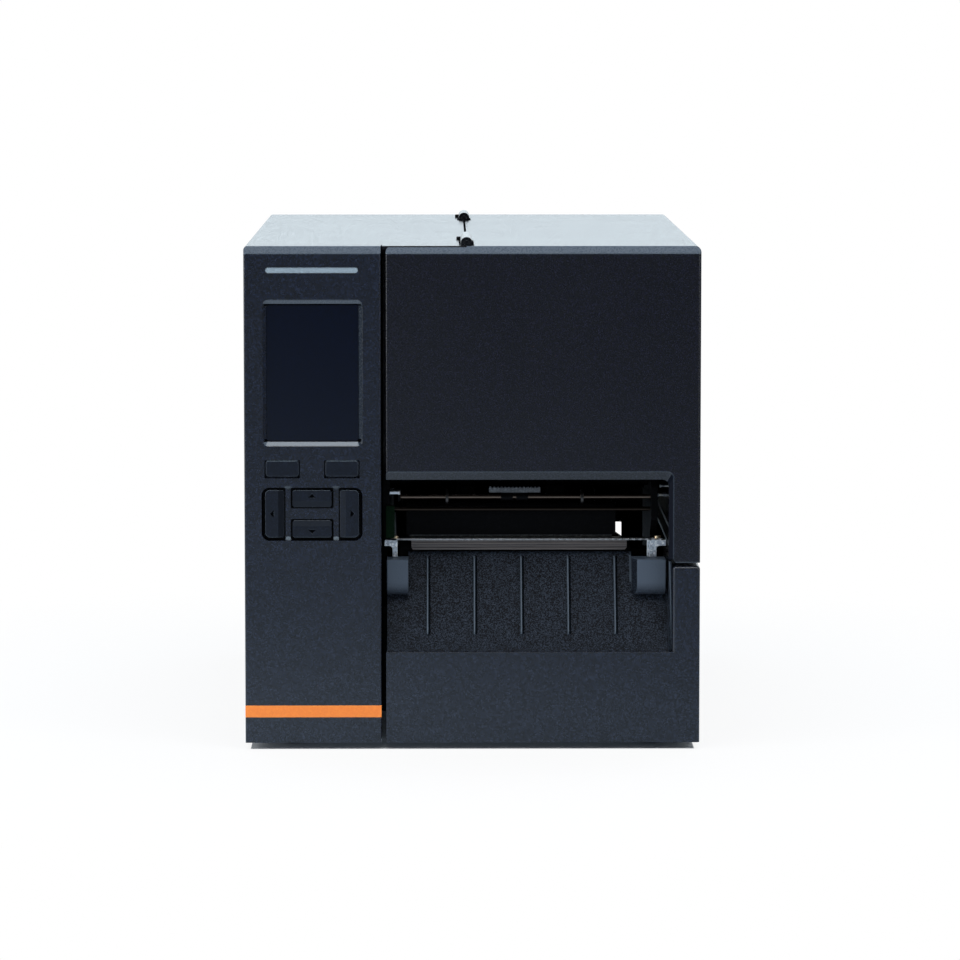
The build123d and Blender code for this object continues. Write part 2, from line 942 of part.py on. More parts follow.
def hinge_spans():
    """The start and end of each hinge along Y."""
    return (
        (front_hinge_start, front_hinge_start + front_hinge_length),
        (rear_hinge_end - rear_hinge_length, rear_hinge_end),
    )


def cut_hinge_notches(x_sign):
    """Room for the hinge barrels in a cover's edge, on the side of the hinge line given by the sign."""
    reach = barrel_radius + notch_clearance
    for y0, y1 in hinge_spans():
        x0, x1 = sorted((hinge_x - x_sign * hinge_gap, hinge_x + x_sign * reach))
        start, end = y0 - knuckle_gap, y1 + knuckle_gap
        block(x0, x1, start, end, top_z - overrun, top_z + overrun, mode=Mode.SUBTRACT)


def build_left_cover():
    """The folded sheet over the electronics: left side with its vents, and the fixed half of the top."""
    top_edge = hinge_x - hinge_gap / 2
    with BuildPart() as cover:
        with BuildSketch(facing(panel_cover_y)):
            with BuildLine():
                Polyline(
                    (left, floor_z),
                    (left, top_z),
                    (top_edge, top_z),
                    (top_edge, top_z - sheet),
                    (left + sheet, top_z - sheet),
                    (left + sheet, floor_z),
                    close=True,
                )
            make_face()
        extrude(amount=-(back - panel_cover_y))
        fillet(edges_at(cover, Axis.Y, X=left, Z=top_z), left_edge_radius)
        block(seam_left + cover_gap, top_edge, top_front_y, panel_cover_y, top_z - sheet, top_z)
        cut_hinge_notches(-1)
        rear_vent_y = back - vent_slot_length
        with BuildSketch(side_on(left - overrun)):
            for row_z in (upper_vent_z, lower_vent_z):
                for n in range(vent_count):
                    with Locations((rear_vent_y - n * vent_pitch, row_z)):
                        SlotOverall(vent_slot_length, vent_slot_width, rotation=90)
        extrude(amount=2 * overrun, mode=Mode.SUBTRACT)
    keep("left_cover", cover)
    with BuildPart() as bumpers:
        for y in (front_bumper_y, rear_bumper_y):
            with Locations((bumper_x, y, top_z + bumper_height / 2)):
                Cylinder(bumper_radius, bumper_height)
        fillet(bumpers.faces().filter_by(Axis.Z).group_by(Axis.Z)[-1].edges(), bumper_radius / 2)
    keep("door_bumpers", bumpers)


def build_rear_panel():
    """The rear sheet with its vents, fan-fold slot, and openings for the inlet and the data ports."""
    y = back - rear_sheet
    inner_top = top_z - door_sheet - seat_gap
    with BuildPart() as sheet_metal:
        with BuildSketch(facing(y)):
            panel(left + rear_inset, right - rear_inset, floor_z + tray_height / 2, inner_top)
            panel(slot_left, slot_right, slot_bottom, slot_top, sheet, mode=Mode.SUBTRACT)
            panel(inlet_left, inlet_right, inlet_bottom, inlet_top, mode=Mode.SUBTRACT)
            panel(
                port_right - port_width - port_plate_margin,
                port_right + port_plate_margin,
                ethernet_bottom - port_plate_margin,
                usb_bottom + usb_height + port_plate_margin,
                mode=Mode.SUBTRACT,
            )
            for n in range(rear_vent_count):
                with Locations((rear_vent_left + n * vent_pitch, rear_vent_top - rear_vent_length / 2)):
                    SlotOverall(rear_vent_length, vent_slot_width, rotation=90, mode=Mode.SUBTRACT)
        extrude(amount=-rear_sheet)
        block(slot_left, slot_right, y - rear_flange, y, slot_top, slot_top + sheet)
    keep("rear_panel", sheet_metal)


def build_lower_covers():
    """The front cover under the door, open for the chute, and the sheet below the door's side."""
    front_back_y = front + cover_depth
    with BuildPart() as cover:
        block(seam_right, right, front, front_back_y, floor_z, lower_top)
        fillet(edges_at(cover, Axis.Z, X=right, Y=front), corner_radius)
        fillet(edges_at(cover, Axis.Y, X=right, Z=lower_top), corner_radius)
        block(
            seam_right - overrun,
            right - cover_wall,
            front + cover_wall,
            front_back_y + overrun,
            floor_z + cover_wall,
            lower_top - cover_wall,
            mode=Mode.SUBTRACT,
        )
        with BuildSketch(facing(front)):
            panel(seam_right - overrun, chute_right, chute_bottom, lower_top + overrun)
        extrude(amount=-cover_depth - overrun, mode=Mode.SUBTRACT)
        fillet(edges_at(cover, Axis.Y, X=chute_right, Z=lower_top), corner_radius)
    keep("lower_front_cover", cover)
    side_start = front_back_y + cover_gap
    with BuildPart() as side:
        with BuildSketch(facing(side_start)):
            outline(
                [
                    (right, floor_z),
                    (right, lower_top),
                    (right - sheet, lower_top),
                    (right - sheet, floor_z),
                ]
            )
        extrude(amount=-(back - side_start))
        block(right - sill_width, right - sheet, side_start, inner_back_y, lower_top - sheet, lower_top)
        flange_bottom = floor_z + tray_height + seat_gap
        flange_back = inner_back_y
        block(right - rear_flange, right - sheet, flange_back - sheet, flange_back, flange_bottom, lower_top - sheet)
        fillet(edges_at(side, Axis.Y, X=right, Z=lower_top), sheet)
    keep("lower_side_cover", side)


def chute_point(share, sunk=0.0):
    """A point on the chute's face, or sunk below it, by its share of the way up from the front edge."""
    run, rise = chute_back_y - chute_front_y, chute_top - chute_bottom
    slope = hypot(run, rise)
    face_run = run - chute_wall * rise / slope
    back_y, back_z = sunk * rise / slope, -sunk * run / slope
    return (chute_front_y + share * face_run + back_y, chute_bottom + share * rise + back_z)


def build_chute():
    """The label chute: a sloping face with ribs, its right cheek, and two blocks under the tear-off bar."""
    run, rise = chute_back_y - chute_front_y, chute_top - chute_bottom
    slope = hypot(run, rise)
    back_y = chute_wall * rise / slope
    back_z = chute_wall * run / slope
    with BuildPart() as chute:
        with BuildSketch(side_on(chute_left)):
            outline(
                [
                    (chute_front_y, chute_bottom),
                    (chute_back_y - back_y, chute_top),
                    (chute_back_y, chute_top),
                    (chute_front_y + back_y, chute_bottom - back_z),
                    (chute_front_y + back_y, chute_bottom - chute_lip),
                    (chute_front_y, chute_bottom - chute_lip),
                ]
            )
        extrude(amount=chute_right - chute_left - seat_gap)
        with BuildSketch(side_on(chute_right - seat_gap - cheek_wall)):
            outline(
                [
                    (chute_front_y, chute_bottom),
                    (chute_back_y - back_y, chute_top),
                    (chute_front_y, chute_top),
                ]
            )
        extrude(amount=cheek_wall)
        face_z = (chute_top - block_bottom) / (chute_top - chute_bottom)
        block_y = chute_front_y + (1 - face_z) * (chute_back_y - chute_front_y)
        block_right = chute_right - right_block_inset
        block_left = block_right - right_block_width
        for x0, x1 in ((chute_left, chute_left + left_block_width), (block_left, block_right)):
            with BuildSketch(side_on(x0)) as profile:
                outline(
                    [
                        (block_y + back_y / 2, block_bottom),
                        (chute_back_y - back_y / 2, chute_top),
                        (chute_back_y - back_y / 2, block_top),
                        (block_front_y, block_top),
                        (block_front_y, block_bottom),
                    ]
                )
                fillet(profile.vertices().group_by(Axis.X)[0].sort_by(Axis.Y)[0], block_round)
            extrude(amount=x1 - x0)
        with BuildSketch(Plane.XY.offset(block_bottom - seat_gap)):
            outline(
                [
                    (block_left - seat_gap, block_front_y - seat_gap),
                    (block_left + block_flank, block_front_y - seat_gap),
                    (block_left, block_y),
                    (block_left - seat_gap, block_y),
                ]
            )
        extrude(amount=block_top - block_bottom + 2 * seat_gap, mode=Mode.SUBTRACT)
        apron_share = (apron_top - chute_bottom) / rise
        with BuildSketch(side_on(chute_left + left_block_width)):
            outline(
                [
                    chute_point(rib_end_share),
                    chute_point(apron_share),
                    (chute_back_y, apron_top),
                    (chute_back_y, chute_top),
                    chute_point(rib_end_share, chute_wall / 2),
                ]
            )
        extrude(amount=block_left - chute_left - left_block_width)
        ramp = rib_height / slope
        for n in range(rib_count):
            x = rib_first_x + n * rib_pitch
            with BuildSketch(side_on(x - rib_width / 2)):
                outline(
                    [
                        chute_point(rib_start_share),
                        chute_point(rib_start_share + ramp, -rib_height),
                        chute_point(1 - ramp, -rib_height),
                        chute_point(1),
                        chute_point(1 - ramp, chute_wall / 2),
                        chute_point(rib_start_share + ramp, chute_wall / 2),
                    ]
                )
            extrude(amount=rib_width)
    keep("exit_chute", chute)


def build_door():
    """The rigid media door: front with the label exit, its half of the top, and the side with its window."""
    top_edge = hinge_x + hinge_gap / 2
    bevel_back = front + exit_bevel_depth
    frame_back = front + exit_frame_depth
    with BuildPart() as shell:
        with BuildSketch(facing(front)):
            outline(
                [
                    (top_edge, top_z),
                    (right, top_z),
                    (right, door_bottom),
                    (right - door_sheet, door_bottom),
                    (right - door_sheet, top_z - door_sheet),
                    (top_edge, top_z - door_sheet),
                ]
            )
        extrude(amount=-depth)
        block(
            right - door_return,
            right - door_sheet,
            front,
            inner_back_y,
            door_bottom,
            door_bottom + door_sheet,
        )
        block(seam_right, right, front, front + door_front_wall, door_bottom, top_z)
        block(
            seam_right,
            right - door_sheet,
            front,
            frame_back,
            exit_top_inner - exit_frame_wall,
            exit_top_outer + exit_frame_wall,
        )
        block(
            exit_right_inner - exit_frame_wall,
            right - door_sheet,
            front,
            frame_back,
            door_bottom,
            exit_top_outer + exit_frame_wall,
        )
        fillet(edges_at(shell, Axis.Z, X=right, Y=front), corner_radius)
        fillet(edges_at(shell, Axis.Z, X=seam_right, Y=front), panel_edge_radius)
        fillet(edges_at(shell, Axis.Y, X=right, Z=top_z), door_edge_radius)
        with BuildSketch(facing(front)):
            panel(seam_right - overrun, exit_right_outer, door_bottom - overrun, exit_top_outer, exit_corner)
        with BuildSketch(facing(bevel_back)):
            panel(seam_right - overrun, exit_right_inner, door_bottom - overrun, exit_top_inner, exit_corner)
        loft(mode=Mode.SUBTRACT)
        with BuildSketch(facing(bevel_back)):
            panel(seam_right - overrun, exit_right_inner, door_bottom - overrun, exit_top_inner, exit_corner)
        extrude(amount=-(frame_back - bevel_back), mode=Mode.SUBTRACT)
        block(
            seam_right - overrun,
            exit_right_inner,
            front + door_front_wall,
            frame_back + overrun,
            door_bottom - overrun,
            exit_top_inner - exit_frame_wall,
            mode=Mode.SUBTRACT,
        )
        with BuildSketch(side_on(seam_right - overrun)):
            outline(
                [
                    (front - overrun, top_z - front_chamfer - overrun),
                    (front + front_chamfer + overrun, top_z + overrun),
                    (front - overrun, top_z + overrun),
                ]
            )
        extrude(amount=width, mode=Mode.SUBTRACT)
        step_z = top_z - top_step
        block(seam_right, hinge_x, front, top_front_y, step_z, top_z, mode=Mode.SUBTRACT)
        with BuildSketch(facing(front)):
            panel(
                exit_right_inner - overrun,
                exit_right_outer + leg_round,
                door_bottom - overrun,
                door_bottom + leg_round,
            )
            with Locations((exit_right_outer + leg_round, door_bottom + leg_round)):
                Circle(leg_round, mode=Mode.SUBTRACT)
        extrude(amount=-exit_frame_depth, mode=Mode.SUBTRACT)
        cut_hinge_notches(1)
        with BuildSketch(side_on(right - overrun)):
            panel(window_front, window_back, window_bottom, window_top, window_corner)
        extrude(amount=2 * overrun, mode=Mode.SUBTRACT)
    keep("door_shell", shell)
    with BuildPart() as window:
        with BuildSketch(side_on(right - door_sheet - window_thickness)):
            panel(
                window_front - window_lap,
                window_back + window_lap,
                window_bottom - window_lap,
                window_top + window_lap,
                window_corner + window_lap,
            )
        extrude(amount=window_thickness)
    keep("door_window", window)


def build_hinges():
    """The two hinges: leaves fixed under the top, leaves fixed under the door, and their pins."""
    fixed_parts, door_parts, pin_parts = [], [], []
    for y0, y1 in hinge_spans():
        third = (y1 - y0) / 3
        fixed_spans = ((y0, y0 + third - knuckle_gap), (y1 - third + knuckle_gap, y1))
        fixed_parts.append(build_leaf(fixed_spans, (y0, y1), -1, sheet))
        door_parts.append(build_leaf(((y0 + third, y1 - third),), (y0 + third, y1 - third), 1, door_sheet))
        with BuildPart() as pin:
            with BuildSketch(facing(y0)):
                with Locations((hinge_x, hinge_z)):
                    Circle(pin_radius)
            extrude(amount=-(y1 - y0))
        pin_parts.append(pin.part)
    groups = {"hinge_fixed_leaves": fixed_parts, "hinge_door_leaves": door_parts, "hinge_pins": pin_parts}
    for name, parts in groups.items():
        with BuildPart() as group:
            for part in parts:
                add(part)
        keep(name, group)


def build_leaf(spans, leaf_span, side, cover_thickness):
    """One hinge leaf: barrels over the given spans, and a plate under the cover on the given side."""
    plate_top = top_z - cover_thickness
    plate_bottom = plate_top - leaf_thickness
    near = hinge_x + side * hinge_gap / 2
    far = hinge_x + side * (barrel_radius + notch_clearance + leaf_width)
    neck = hinge_x + side * barrel_radius
    with BuildPart() as leaf:
        for y0, y1 in spans:
            with BuildSketch(facing(y0)):
                with Locations((hinge_x, hinge_z)):
                    Circle(barrel_radius)
                outline([(near, hinge_z), (neck, hinge_z), (neck, plate_bottom), (near, plate_bottom)])
            extrude(amount=-(y1 - y0))
        block(min(near, far), max(near, far), *leaf_span, plate_bottom, plate_top)
        with BuildSketch(facing(leaf_span[0] - overrun)):
            with Locations((hinge_x, hinge_z)):
                Circle(pin_radius + running_fit)
        extrude(amount=-(leaf_span[1] - leaf_span[0] + 2 * overrun), mode=Mode.SUBTRACT)
    return leaf.part


# Print mechanism


def build_tear_bar():
    """The stepped tear-off bar with its toothed blade, the two mounts that hold them, and their screws."""
    bar_back_y = bar_front_y + bar_thickness
    middle_z = (bar_bottom + bar_top) / 2
    with BuildPart() as bar:
        with BuildSketch(side_on(bar_left)):
            outline(
                [
                    (bar_front_y, bar_top),
                    (bar_back_y, bar_top),
                    (bar_back_y, bar_bottom),
                    (bar_front_y + bar_step, bar_bottom),
                    (bar_front_y + bar_step, middle_z),
                    (bar_front_y, middle_z),
                ]
            )
        extrude(amount=bar_width)
        for x in (bar_left, bar_left + bar_width):
            chamfer(edges_at(bar, Axis.Y, X=x, Z=bar_bottom), bar_corner)
    keep("tear_bar", bar)
    teeth = int((blade_right - blade_left) / blade_teeth_pitch)
    pitch = (blade_right - blade_left) / teeth
    edge = []
    for n in range(teeth):
        edge.append((blade_left + n * pitch, blade_front_y))
        edge.append((blade_left + n * pitch + pitch / 2, blade_front_y + blade_tooth / 2))
    with BuildPart() as blade:
        with BuildSketch(Plane.XY.offset(bar_top)):
            outline(
                [
                    *edge,
                    (blade_right, blade_front_y),
                    (blade_right, blade_front_y + blade_depth),
                    (blade_left, blade_front_y + blade_depth),
                ]
            )
        extrude(amount=blade_thickness)
    keep("tear_blade", blade)
    with BuildPart() as mounts:
        for x0, x1, stem_left, stem_right in (
            (left_mount_left, left_mount_right, left_mount_right - left_stem_width, left_mount_right),
            (right_mount_left, right_mount_right, right_mount_left, right_mount_left + mount_stem_width),
        ):
            with BuildSketch(facing(mount_front_y)) as profile:
                panel(x0, x1, bar_top - mount_head, bar_top)
                panel(stem_left, stem_right, mount_bottom, bar_top)
                inner = profile.vertices().filter_by(lambda v: abs(v.Y - bar_top + mount_head) < seat_gap)
                corner = inner.sort_by_distance(((stem_left + stem_right) / 2, bar_top - mount_head))[0]
                fillet(corner, mount_round)
            extrude(amount=-(mount_back_y - mount_front_y))
    keep("tear_bar_mounts", mounts)
    blade_middle_y = blade_front_y + blade_depth / 2
    with BuildPart() as screws:
        for x in (left_mount_right - left_stem_width / 2, blade_right - mount_screw_radius):
            with Locations((x, blade_middle_y, bar_top + blade_thickness + mount_screw_height / 2)):
                Cylinder(mount_screw_radius, mount_screw_height)
    keep("tear_bar_screws", screws)


def build_outer_bracket():
    """The cast bracket at the open side, which carries the free ends of roller, shafts and rods."""
    low_front_y = mount_back_y
    with BuildPart() as bracket:
        with BuildSketch(side_on(bracket_left)) as profile:
            outline(
                [
                    (low_front_y, bracket_bottom),
                    (bracket_back_y, bracket_bottom),
                    (bracket_back_y, pivot_z + sleeve_radius),
                    (cam_y + sleeve_radius, bracket_top),
                    (bracket_nose_y + bracket_round, bracket_top),
                    (bracket_nose_y, exit_top_inner - bracket_round),
                    (bracket_nose_y, lower_rod_z - bracket_round),
                    (low_front_y, head_cover_bottom),
                ]
            )
            fillet(profile.vertices(), rod_radius)
            with Locations((platen_y, platen_z), (cam_y, cam_z), (pivot_y, pivot_z)):
                Circle(shaft_radius + running_fit, mode=Mode.SUBTRACT)
            with Locations((front_rod_y, front_rod_z), (lower_rod_y, lower_rod_z)):
                Circle(rod_radius + running_fit, mode=Mode.SUBTRACT)
        extrude(amount=bracket_thickness)
    keep("outer_bracket", bracket)


def build_deck():
    """The cast cross member under the roller, stepping up into the deck that carries the labels."""
    with BuildPart() as deck:
        with BuildSketch(side_on(plate_right)):
            outline(
                [
                    (deck_front_y, bracket_bottom),
                    (deck_step_y + deck_wall, bracket_bottom),
                    (deck_step_y + deck_wall, deck_top - deck_wall),
                    (deck_back_y, deck_top - deck_wall),
                    (deck_back_y, deck_top),
                    (deck_step_y, deck_top),
                    (deck_step_y, bracket_bottom + deck_wall),
                    (deck_front_y, bracket_bottom + deck_wall),
                ]
            )
        extrude(amount=bracket_left - plate_right)
    keep("media_deck", deck)
    with BuildPart() as guide:
        foot_z = deck_top + seat_gap
        wall_right = guide_x + guide_wall
        foot_top = foot_z + guide_foot_height
        block(guide_x - guide_foot, wall_right, guide_front_y, guide_back_y, foot_z, foot_top)
        block(guide_x, wall_right, guide_front_y, guide_back_y, foot_z, foot_z + guide_height)
        fillet(edges_at(guide, Axis.X, Z=foot_z + guide_height), guide_wall)
    keep("media_guide", guide)


def gear_face(teeth, centre_y, centre_z, start_angle):
    """The toothed outline of a gear in the open sketch, with one tooth centred on the start angle."""
    pitch_radius = gear_module * teeth / 2
    root, tip = pitch_radius - gear_dedendum, pitch_radius + gear_addendum
    step = 2 * pi / teeth
    points = []
    for n in range(teeth):
        angle = radians(start_angle) + n * step
        for share, radius in (
            (-tooth_root_share, root),
            (-tooth_tip_share, tip),
            (tooth_tip_share, tip),
            (tooth_root_share, root),
        ):
            turn = angle + share * step
            points.append((centre_y + radius * cos(turn), centre_z + radius * sin(turn)))
    outline(points)


def meshed_start(direction, own_teeth, other_teeth, other_start):
    """The start angle that puts a gap of a gear over a tooth of the gear it meshes with."""
    other_step = 360 / other_teeth
    lag = (direction - other_start + other_step / 2) % other_step - other_step / 2
    return direction + 180 + lag * other_teeth / own_teeth + 180 / own_teeth


def build_platen():
    """The rubber platen roller, its steel shaft and the gear that drives it."""
    platen_right = platen_left + platen_length
    with BuildPart() as shaft:
        rod(gear_left, bracket_right, platen_y, platen_z, shaft_radius)
    keep("platen_shaft", shaft)
    with BuildPart() as rubber:
        rod(platen_left, platen_right, platen_y, platen_z, platen_radius)
        rod(platen_left, platen_right, platen_y, platen_z, shaft_radius, mode=Mode.SUBTRACT)
        chamfer(rubber.edges().filter_by(GeomType.CIRCLE).group_by(SortBy.RADIUS)[-1], seat_gap)
    keep("platen_roller", rubber)
    with BuildPart() as gear:
        with BuildSketch(side_on(gear_left)):
            gear_face(platen_teeth, platen_y, platen_z, idler_direction)
            with Locations((platen_y, platen_z)):
                Circle(shaft_radius, mode=Mode.SUBTRACT)
        extrude(amount=gear_width)
    keep("platen_gear", gear)


def build_drive():
    """The idler gear on its pin, the stepping motor, and the motor's pinion."""
    idler_start = meshed_start(idler_direction, idler_teeth, platen_teeth, idler_direction)
    pinion_start = meshed_start(pinion_direction, pinion_teeth, idler_teeth, idler_start)
    web_inset = (gear_width - idler_web) / 2
    with BuildPart() as idler:
        with BuildSketch(side_on(gear_left)):
            gear_face(idler_teeth, idler_y, idler_z, idler_start)
        extrude(amount=gear_width)
        for x in (gear_left, gear_right - web_inset):
            with BuildSketch(side_on(x)):
                with Locations((idler_y, idler_z)):
                    Circle(idler_radius - gear_dedendum - idler_rim)
                    Circle(idler_pin_radius + idler_web, mode=Mode.SUBTRACT)
            extrude(amount=web_inset, mode=Mode.SUBTRACT)
        rod(gear_left, gear_right, idler_y, idler_z, idler_pin_radius + running_fit, mode=Mode.SUBTRACT)
    keep("idler_gear", idler)
    with BuildPart() as pinion:
        with BuildSketch(side_on(gear_left)):
            gear_face(pinion_teeth, pinion_y, pinion_z, pinion_start)
        extrude(amount=gear_width)
        rod(motor_right - motor_flange, gear_left, pinion_y, pinion_z, motor_shaft_radius)
    keep("motor_pinion", pinion)
    with BuildPart() as motor:
        with BuildSketch(side_on(motor_right - motor_length)):
            with Locations((pinion_y, pinion_z)):
                RectangleRounded(motor_size, motor_size, motor_corner)
        extrude(amount=motor_length - motor_flange)
        with BuildSketch(side_on(motor_right - motor_flange)):
            with Locations((pinion_y, pinion_z)):
                RectangleRounded(motor_size, motor_flange_height, motor_corner)
        extrude(amount=motor_flange)
        rod(
            motor_right - 2 * motor_flange,
            motor_right,
            pinion_y,
            pinion_z,
            motor_shaft_radius + running_fit,
            mode=Mode.SUBTRACT,
        )
    keep("drive_motor", motor)


def build_head():
    """The print head: ceramic head with its heat sink, pivoting bracket with two pads, and front cover."""
    head_bottom = platen_z + platen_radius + head_gap
    plate_bottom = head_bottom + head_block_height
    plate_top = plate_bottom + head_plate
    with BuildPart() as head:
        with BuildSketch(side_on(head_left + head_inset)):
            outline(
                [
                    (head_front_y, head_bottom),
                    (head_back_y - head_plate, head_bottom),
                    (head_back_y, head_bottom + head_inset),
                    (head_back_y, plate_bottom),
                    (head_front_y, plate_bottom),
                ]
            )
        extrude(amount=head_right - head_left - 2 * head_inset)
    keep("thermal_head", head)
    with BuildPart() as bracket:
        plate_back_y = head_plate_back_y - sleeve_radius
        block(head_left, head_right, head_front_y, plate_back_y, plate_bottom, plate_top)
        for x in (head_left, head_right - sleeve_length):
            with BuildSketch(side_on(x)):
                outline(
                    [
                        (head_back_y, plate_bottom),
                        (plate_back_y, plate_bottom),
                        (pivot_y, pivot_z - sleeve_radius),
                        (pivot_y, pivot_z + sleeve_radius / 2),
                        (plate_back_y, plate_top + head_plate),
                        (head_back_y, plate_top),
                    ]
                )
                with Locations((pivot_y, pivot_z)):
                    Circle(sleeve_radius)
            extrude(amount=sleeve_length)
        for x in (first_cam_x, second_cam_x):
            block(
                x - pad_width / 2,
                x + pad_width / 2,
                cam_y - pad_depth / 2,
                cam_y + pad_depth / 2,
                plate_top,
                cam_z - cam_offset - cam_tip - cam_gap,
            )
        rod(
            head_left - seat_gap,
            head_right + seat_gap,
            pivot_y,
            pivot_z,
            shaft_radius + running_fit,
            mode=Mode.SUBTRACT,
        )
    keep("head_bracket", bracket)
    with BuildPart() as cover:
        with BuildSketch(side_on(head_left)):
            outline(
                [
                    (head_cover_front_y, head_cover_bottom),
                    (head_cover_front_y, head_cover_top),
                    (head_cover_back_y, head_cover_top),
                    (head_cover_back_y, plate_top),
                    (head_cover_back_y - head_cover_wall, plate_top),
                    (head_cover_back_y - head_cover_wall, head_cover_top - head_cover_wall),
                    (head_cover_front_y + head_cover_wall, head_cover_top - head_cover_wall),
                    (head_cover_front_y + head_cover_wall, head_cover_bottom),
                ]
            )
        extrude(amount=head_right - head_left)
        fillet(edges_at(cover, Axis.X, Y=head_cover_front_y, Z=head_cover_top), head_cover_wall)
    keep("head_cover", cover)


def build_head_shafts():
    """The head's pivot shaft, the cam shaft that presses it down, and the lever that turns the cams."""
    with BuildPart() as pivot:
        rod(plate_left, bracket_right, pivot_y, pivot_z, shaft_radius)
    keep("head_pivot_shaft", pivot)
    with BuildPart() as cams:
        rod(plate_left, lever_left + lever_thickness, cam_y, cam_z, shaft_radius)
        for x in (first_cam_x, second_cam_x):
            x0, x1 = x - cam_width / 2, x + cam_width / 2
            rod(x0, x1, cam_y, cam_z, shaft_radius + cam_tip / 2)
            rod(x0, x1, cam_y, cam_z - cam_offset, cam_tip)
            block(x0, x1, cam_y - cam_tip, cam_y + cam_tip, cam_z - cam_offset, cam_z)
    keep("cam_shaft", cams)
    grip_y = cam_y + lever_length * cos(radians(lever_angle))
    grip_z = cam_z + lever_length * sin(radians(lever_angle))
    lean = Plane(
        origin=(lever_left, cam_y, cam_z),
        x_dir=(0, cos(radians(lever_angle)), sin(radians(lever_angle))),
        z_dir=(1, 0, 0),
    )
    with BuildPart() as lever:
        with BuildSketch(lean):
            outline(
                [
                    (0, -lever_hub),
                    (lever_length, -lever_grip),
                    (lever_length, lever_grip),
                    (0, lever_hub),
                ]
            )
            Circle(lever_hub)
            with Locations((lever_length, 0)):
                Circle(lever_grip)
            Circle(shaft_radius, mode=Mode.SUBTRACT)
        extrude(amount=lever_thickness)
        with BuildSketch(side_on(lever_left)):
            with Locations((grip_y, grip_z)):
                Circle(lever_grip)
        extrude(amount=lever_grip_length)
        chamfer(lever.faces().sort_by(Axis.X)[-1].edges(), lever_grip / 4)
    keep("head_lever", lever)


def build_ribbon_rods():
    """The two ribbon rods over the exit, with their clips, left tab, ribbon sensor and comb."""
    with BuildPart() as rods:
        rod(tab_right, bracket_right, front_rod_y, front_rod_z, rod_radius)
        rod(plate_right, bracket_right, lower_rod_y, lower_rod_z, rod_radius)
    keep("ribbon_rods", rods)
    with BuildPart() as clips:
        for x in (first_clip_x, second_clip_x):
            rod(x - clip_width / 2, x + clip_width / 2, front_rod_y, front_rod_z, clip_radius)
        bore_left, bore_right = first_clip_x - clip_width, second_clip_x + clip_width
        rod(bore_left, bore_right, front_rod_y, front_rod_z, rod_radius, mode=Mode.SUBTRACT)
    keep("rod_clips", clips)
    with BuildPart() as tab:
        with BuildSketch(facing(tab_front_y)):
            panel(plate_right, tab_right, tab_z - tab_thickness, tab_z)
            panel(tab_right - tab_thickness, tab_right, tab_z - tab_drop, tab_z)
        extrude(amount=-(tab_back_y - tab_front_y))
        fillet(edges_at(tab, Axis.Z, X=tab_right), tab_thickness)
    keep("rod_tab", tab)
    with BuildPart() as sensor:
        half = (rod_sensor_width - rod_sensor_split) / 2
        for x in (rod_sensor_x, rod_sensor_x + half + rod_sensor_split):
            with BuildSketch(side_on(x)):
                with Locations((front_rod_y, front_rod_z)):
                    Circle(rod_sensor_height / 2)
                    Circle(rod_radius, mode=Mode.SUBTRACT)
            extrude(amount=half)
        with BuildSketch(side_on(rod_sensor_x)):
            panel(
                front_rod_y - rod_radius,
                front_rod_y + rod_radius,
                front_rod_z + rod_radius + seat_gap,
                strip_comb_bottom,
            )
        extrude(amount=rod_sensor_width)
    keep("ribbon_sensor", sensor)
    comb_z = strip_comb_bottom + strip_comb_height
    comb_front_y = front_rod_y - strip_comb_depth / 2
    comb_step = (strip_comb_width - 2 * comb_radius) / (comb_count - 1)
    comb_tops = [(strip_comb_left + comb_radius + n * comb_step, comb_z) for n in range(comb_count)]
    with BuildPart() as comb:
        with BuildSketch(facing(comb_front_y)):
            panel(strip_comb_left, strip_comb_left + strip_comb_width, strip_comb_bottom, comb_z)
            with Locations(*comb_tops):
                Circle(comb_radius)
        extrude(amount=-strip_comb_depth)
    keep("serrated_strip", comb)
    with BuildPart() as green:
        block(
            green_left,
            green_left + green_width,
            plate_front - board_thickness,
            plate_front,
            green_bottom,
            green_bottom + green_height,
        )
    keep("exit_sensor_board", green)


# Ribbon and media


def build_ribbon_spindles():
    """The supply and take-up spindles: bladed cores that turn in the centre plate."""
    for name, y in (("ribbon_supply_spindle", supply_y), ("ribbon_take_up_spindle", take_up_y)):
        core_left = plate_right + seat_gap
        with BuildPart() as spindle:
            rod(core_left, core_left + spindle_flange, y, spindle_z, spindle_flange_radius)
            rod(core_left, core_left + spindle_length, y, spindle_z, spindle_radius)
            chamfer(spindle.faces().sort_by(Axis.X)[-1].edges(), spindle_blade)
            rod(plate_left - spindle_shaft_end, core_left, y, spindle_z, spindle_shaft_radius)
            collar_right = plate_left - seat_gap
            rod(collar_right - spindle_collar, collar_right, y, spindle_z, spindle_collar_radius)
            with BuildSketch(side_on(core_left)):
                with Locations((y, spindle_z)):
                    with PolarLocations(spindle_radius, spindle_blades):
                        Rectangle(2 * spindle_blade_height, spindle_blade)
            extrude(amount=spindle_length - 2 * spindle_blade)
        keep(name, spindle)


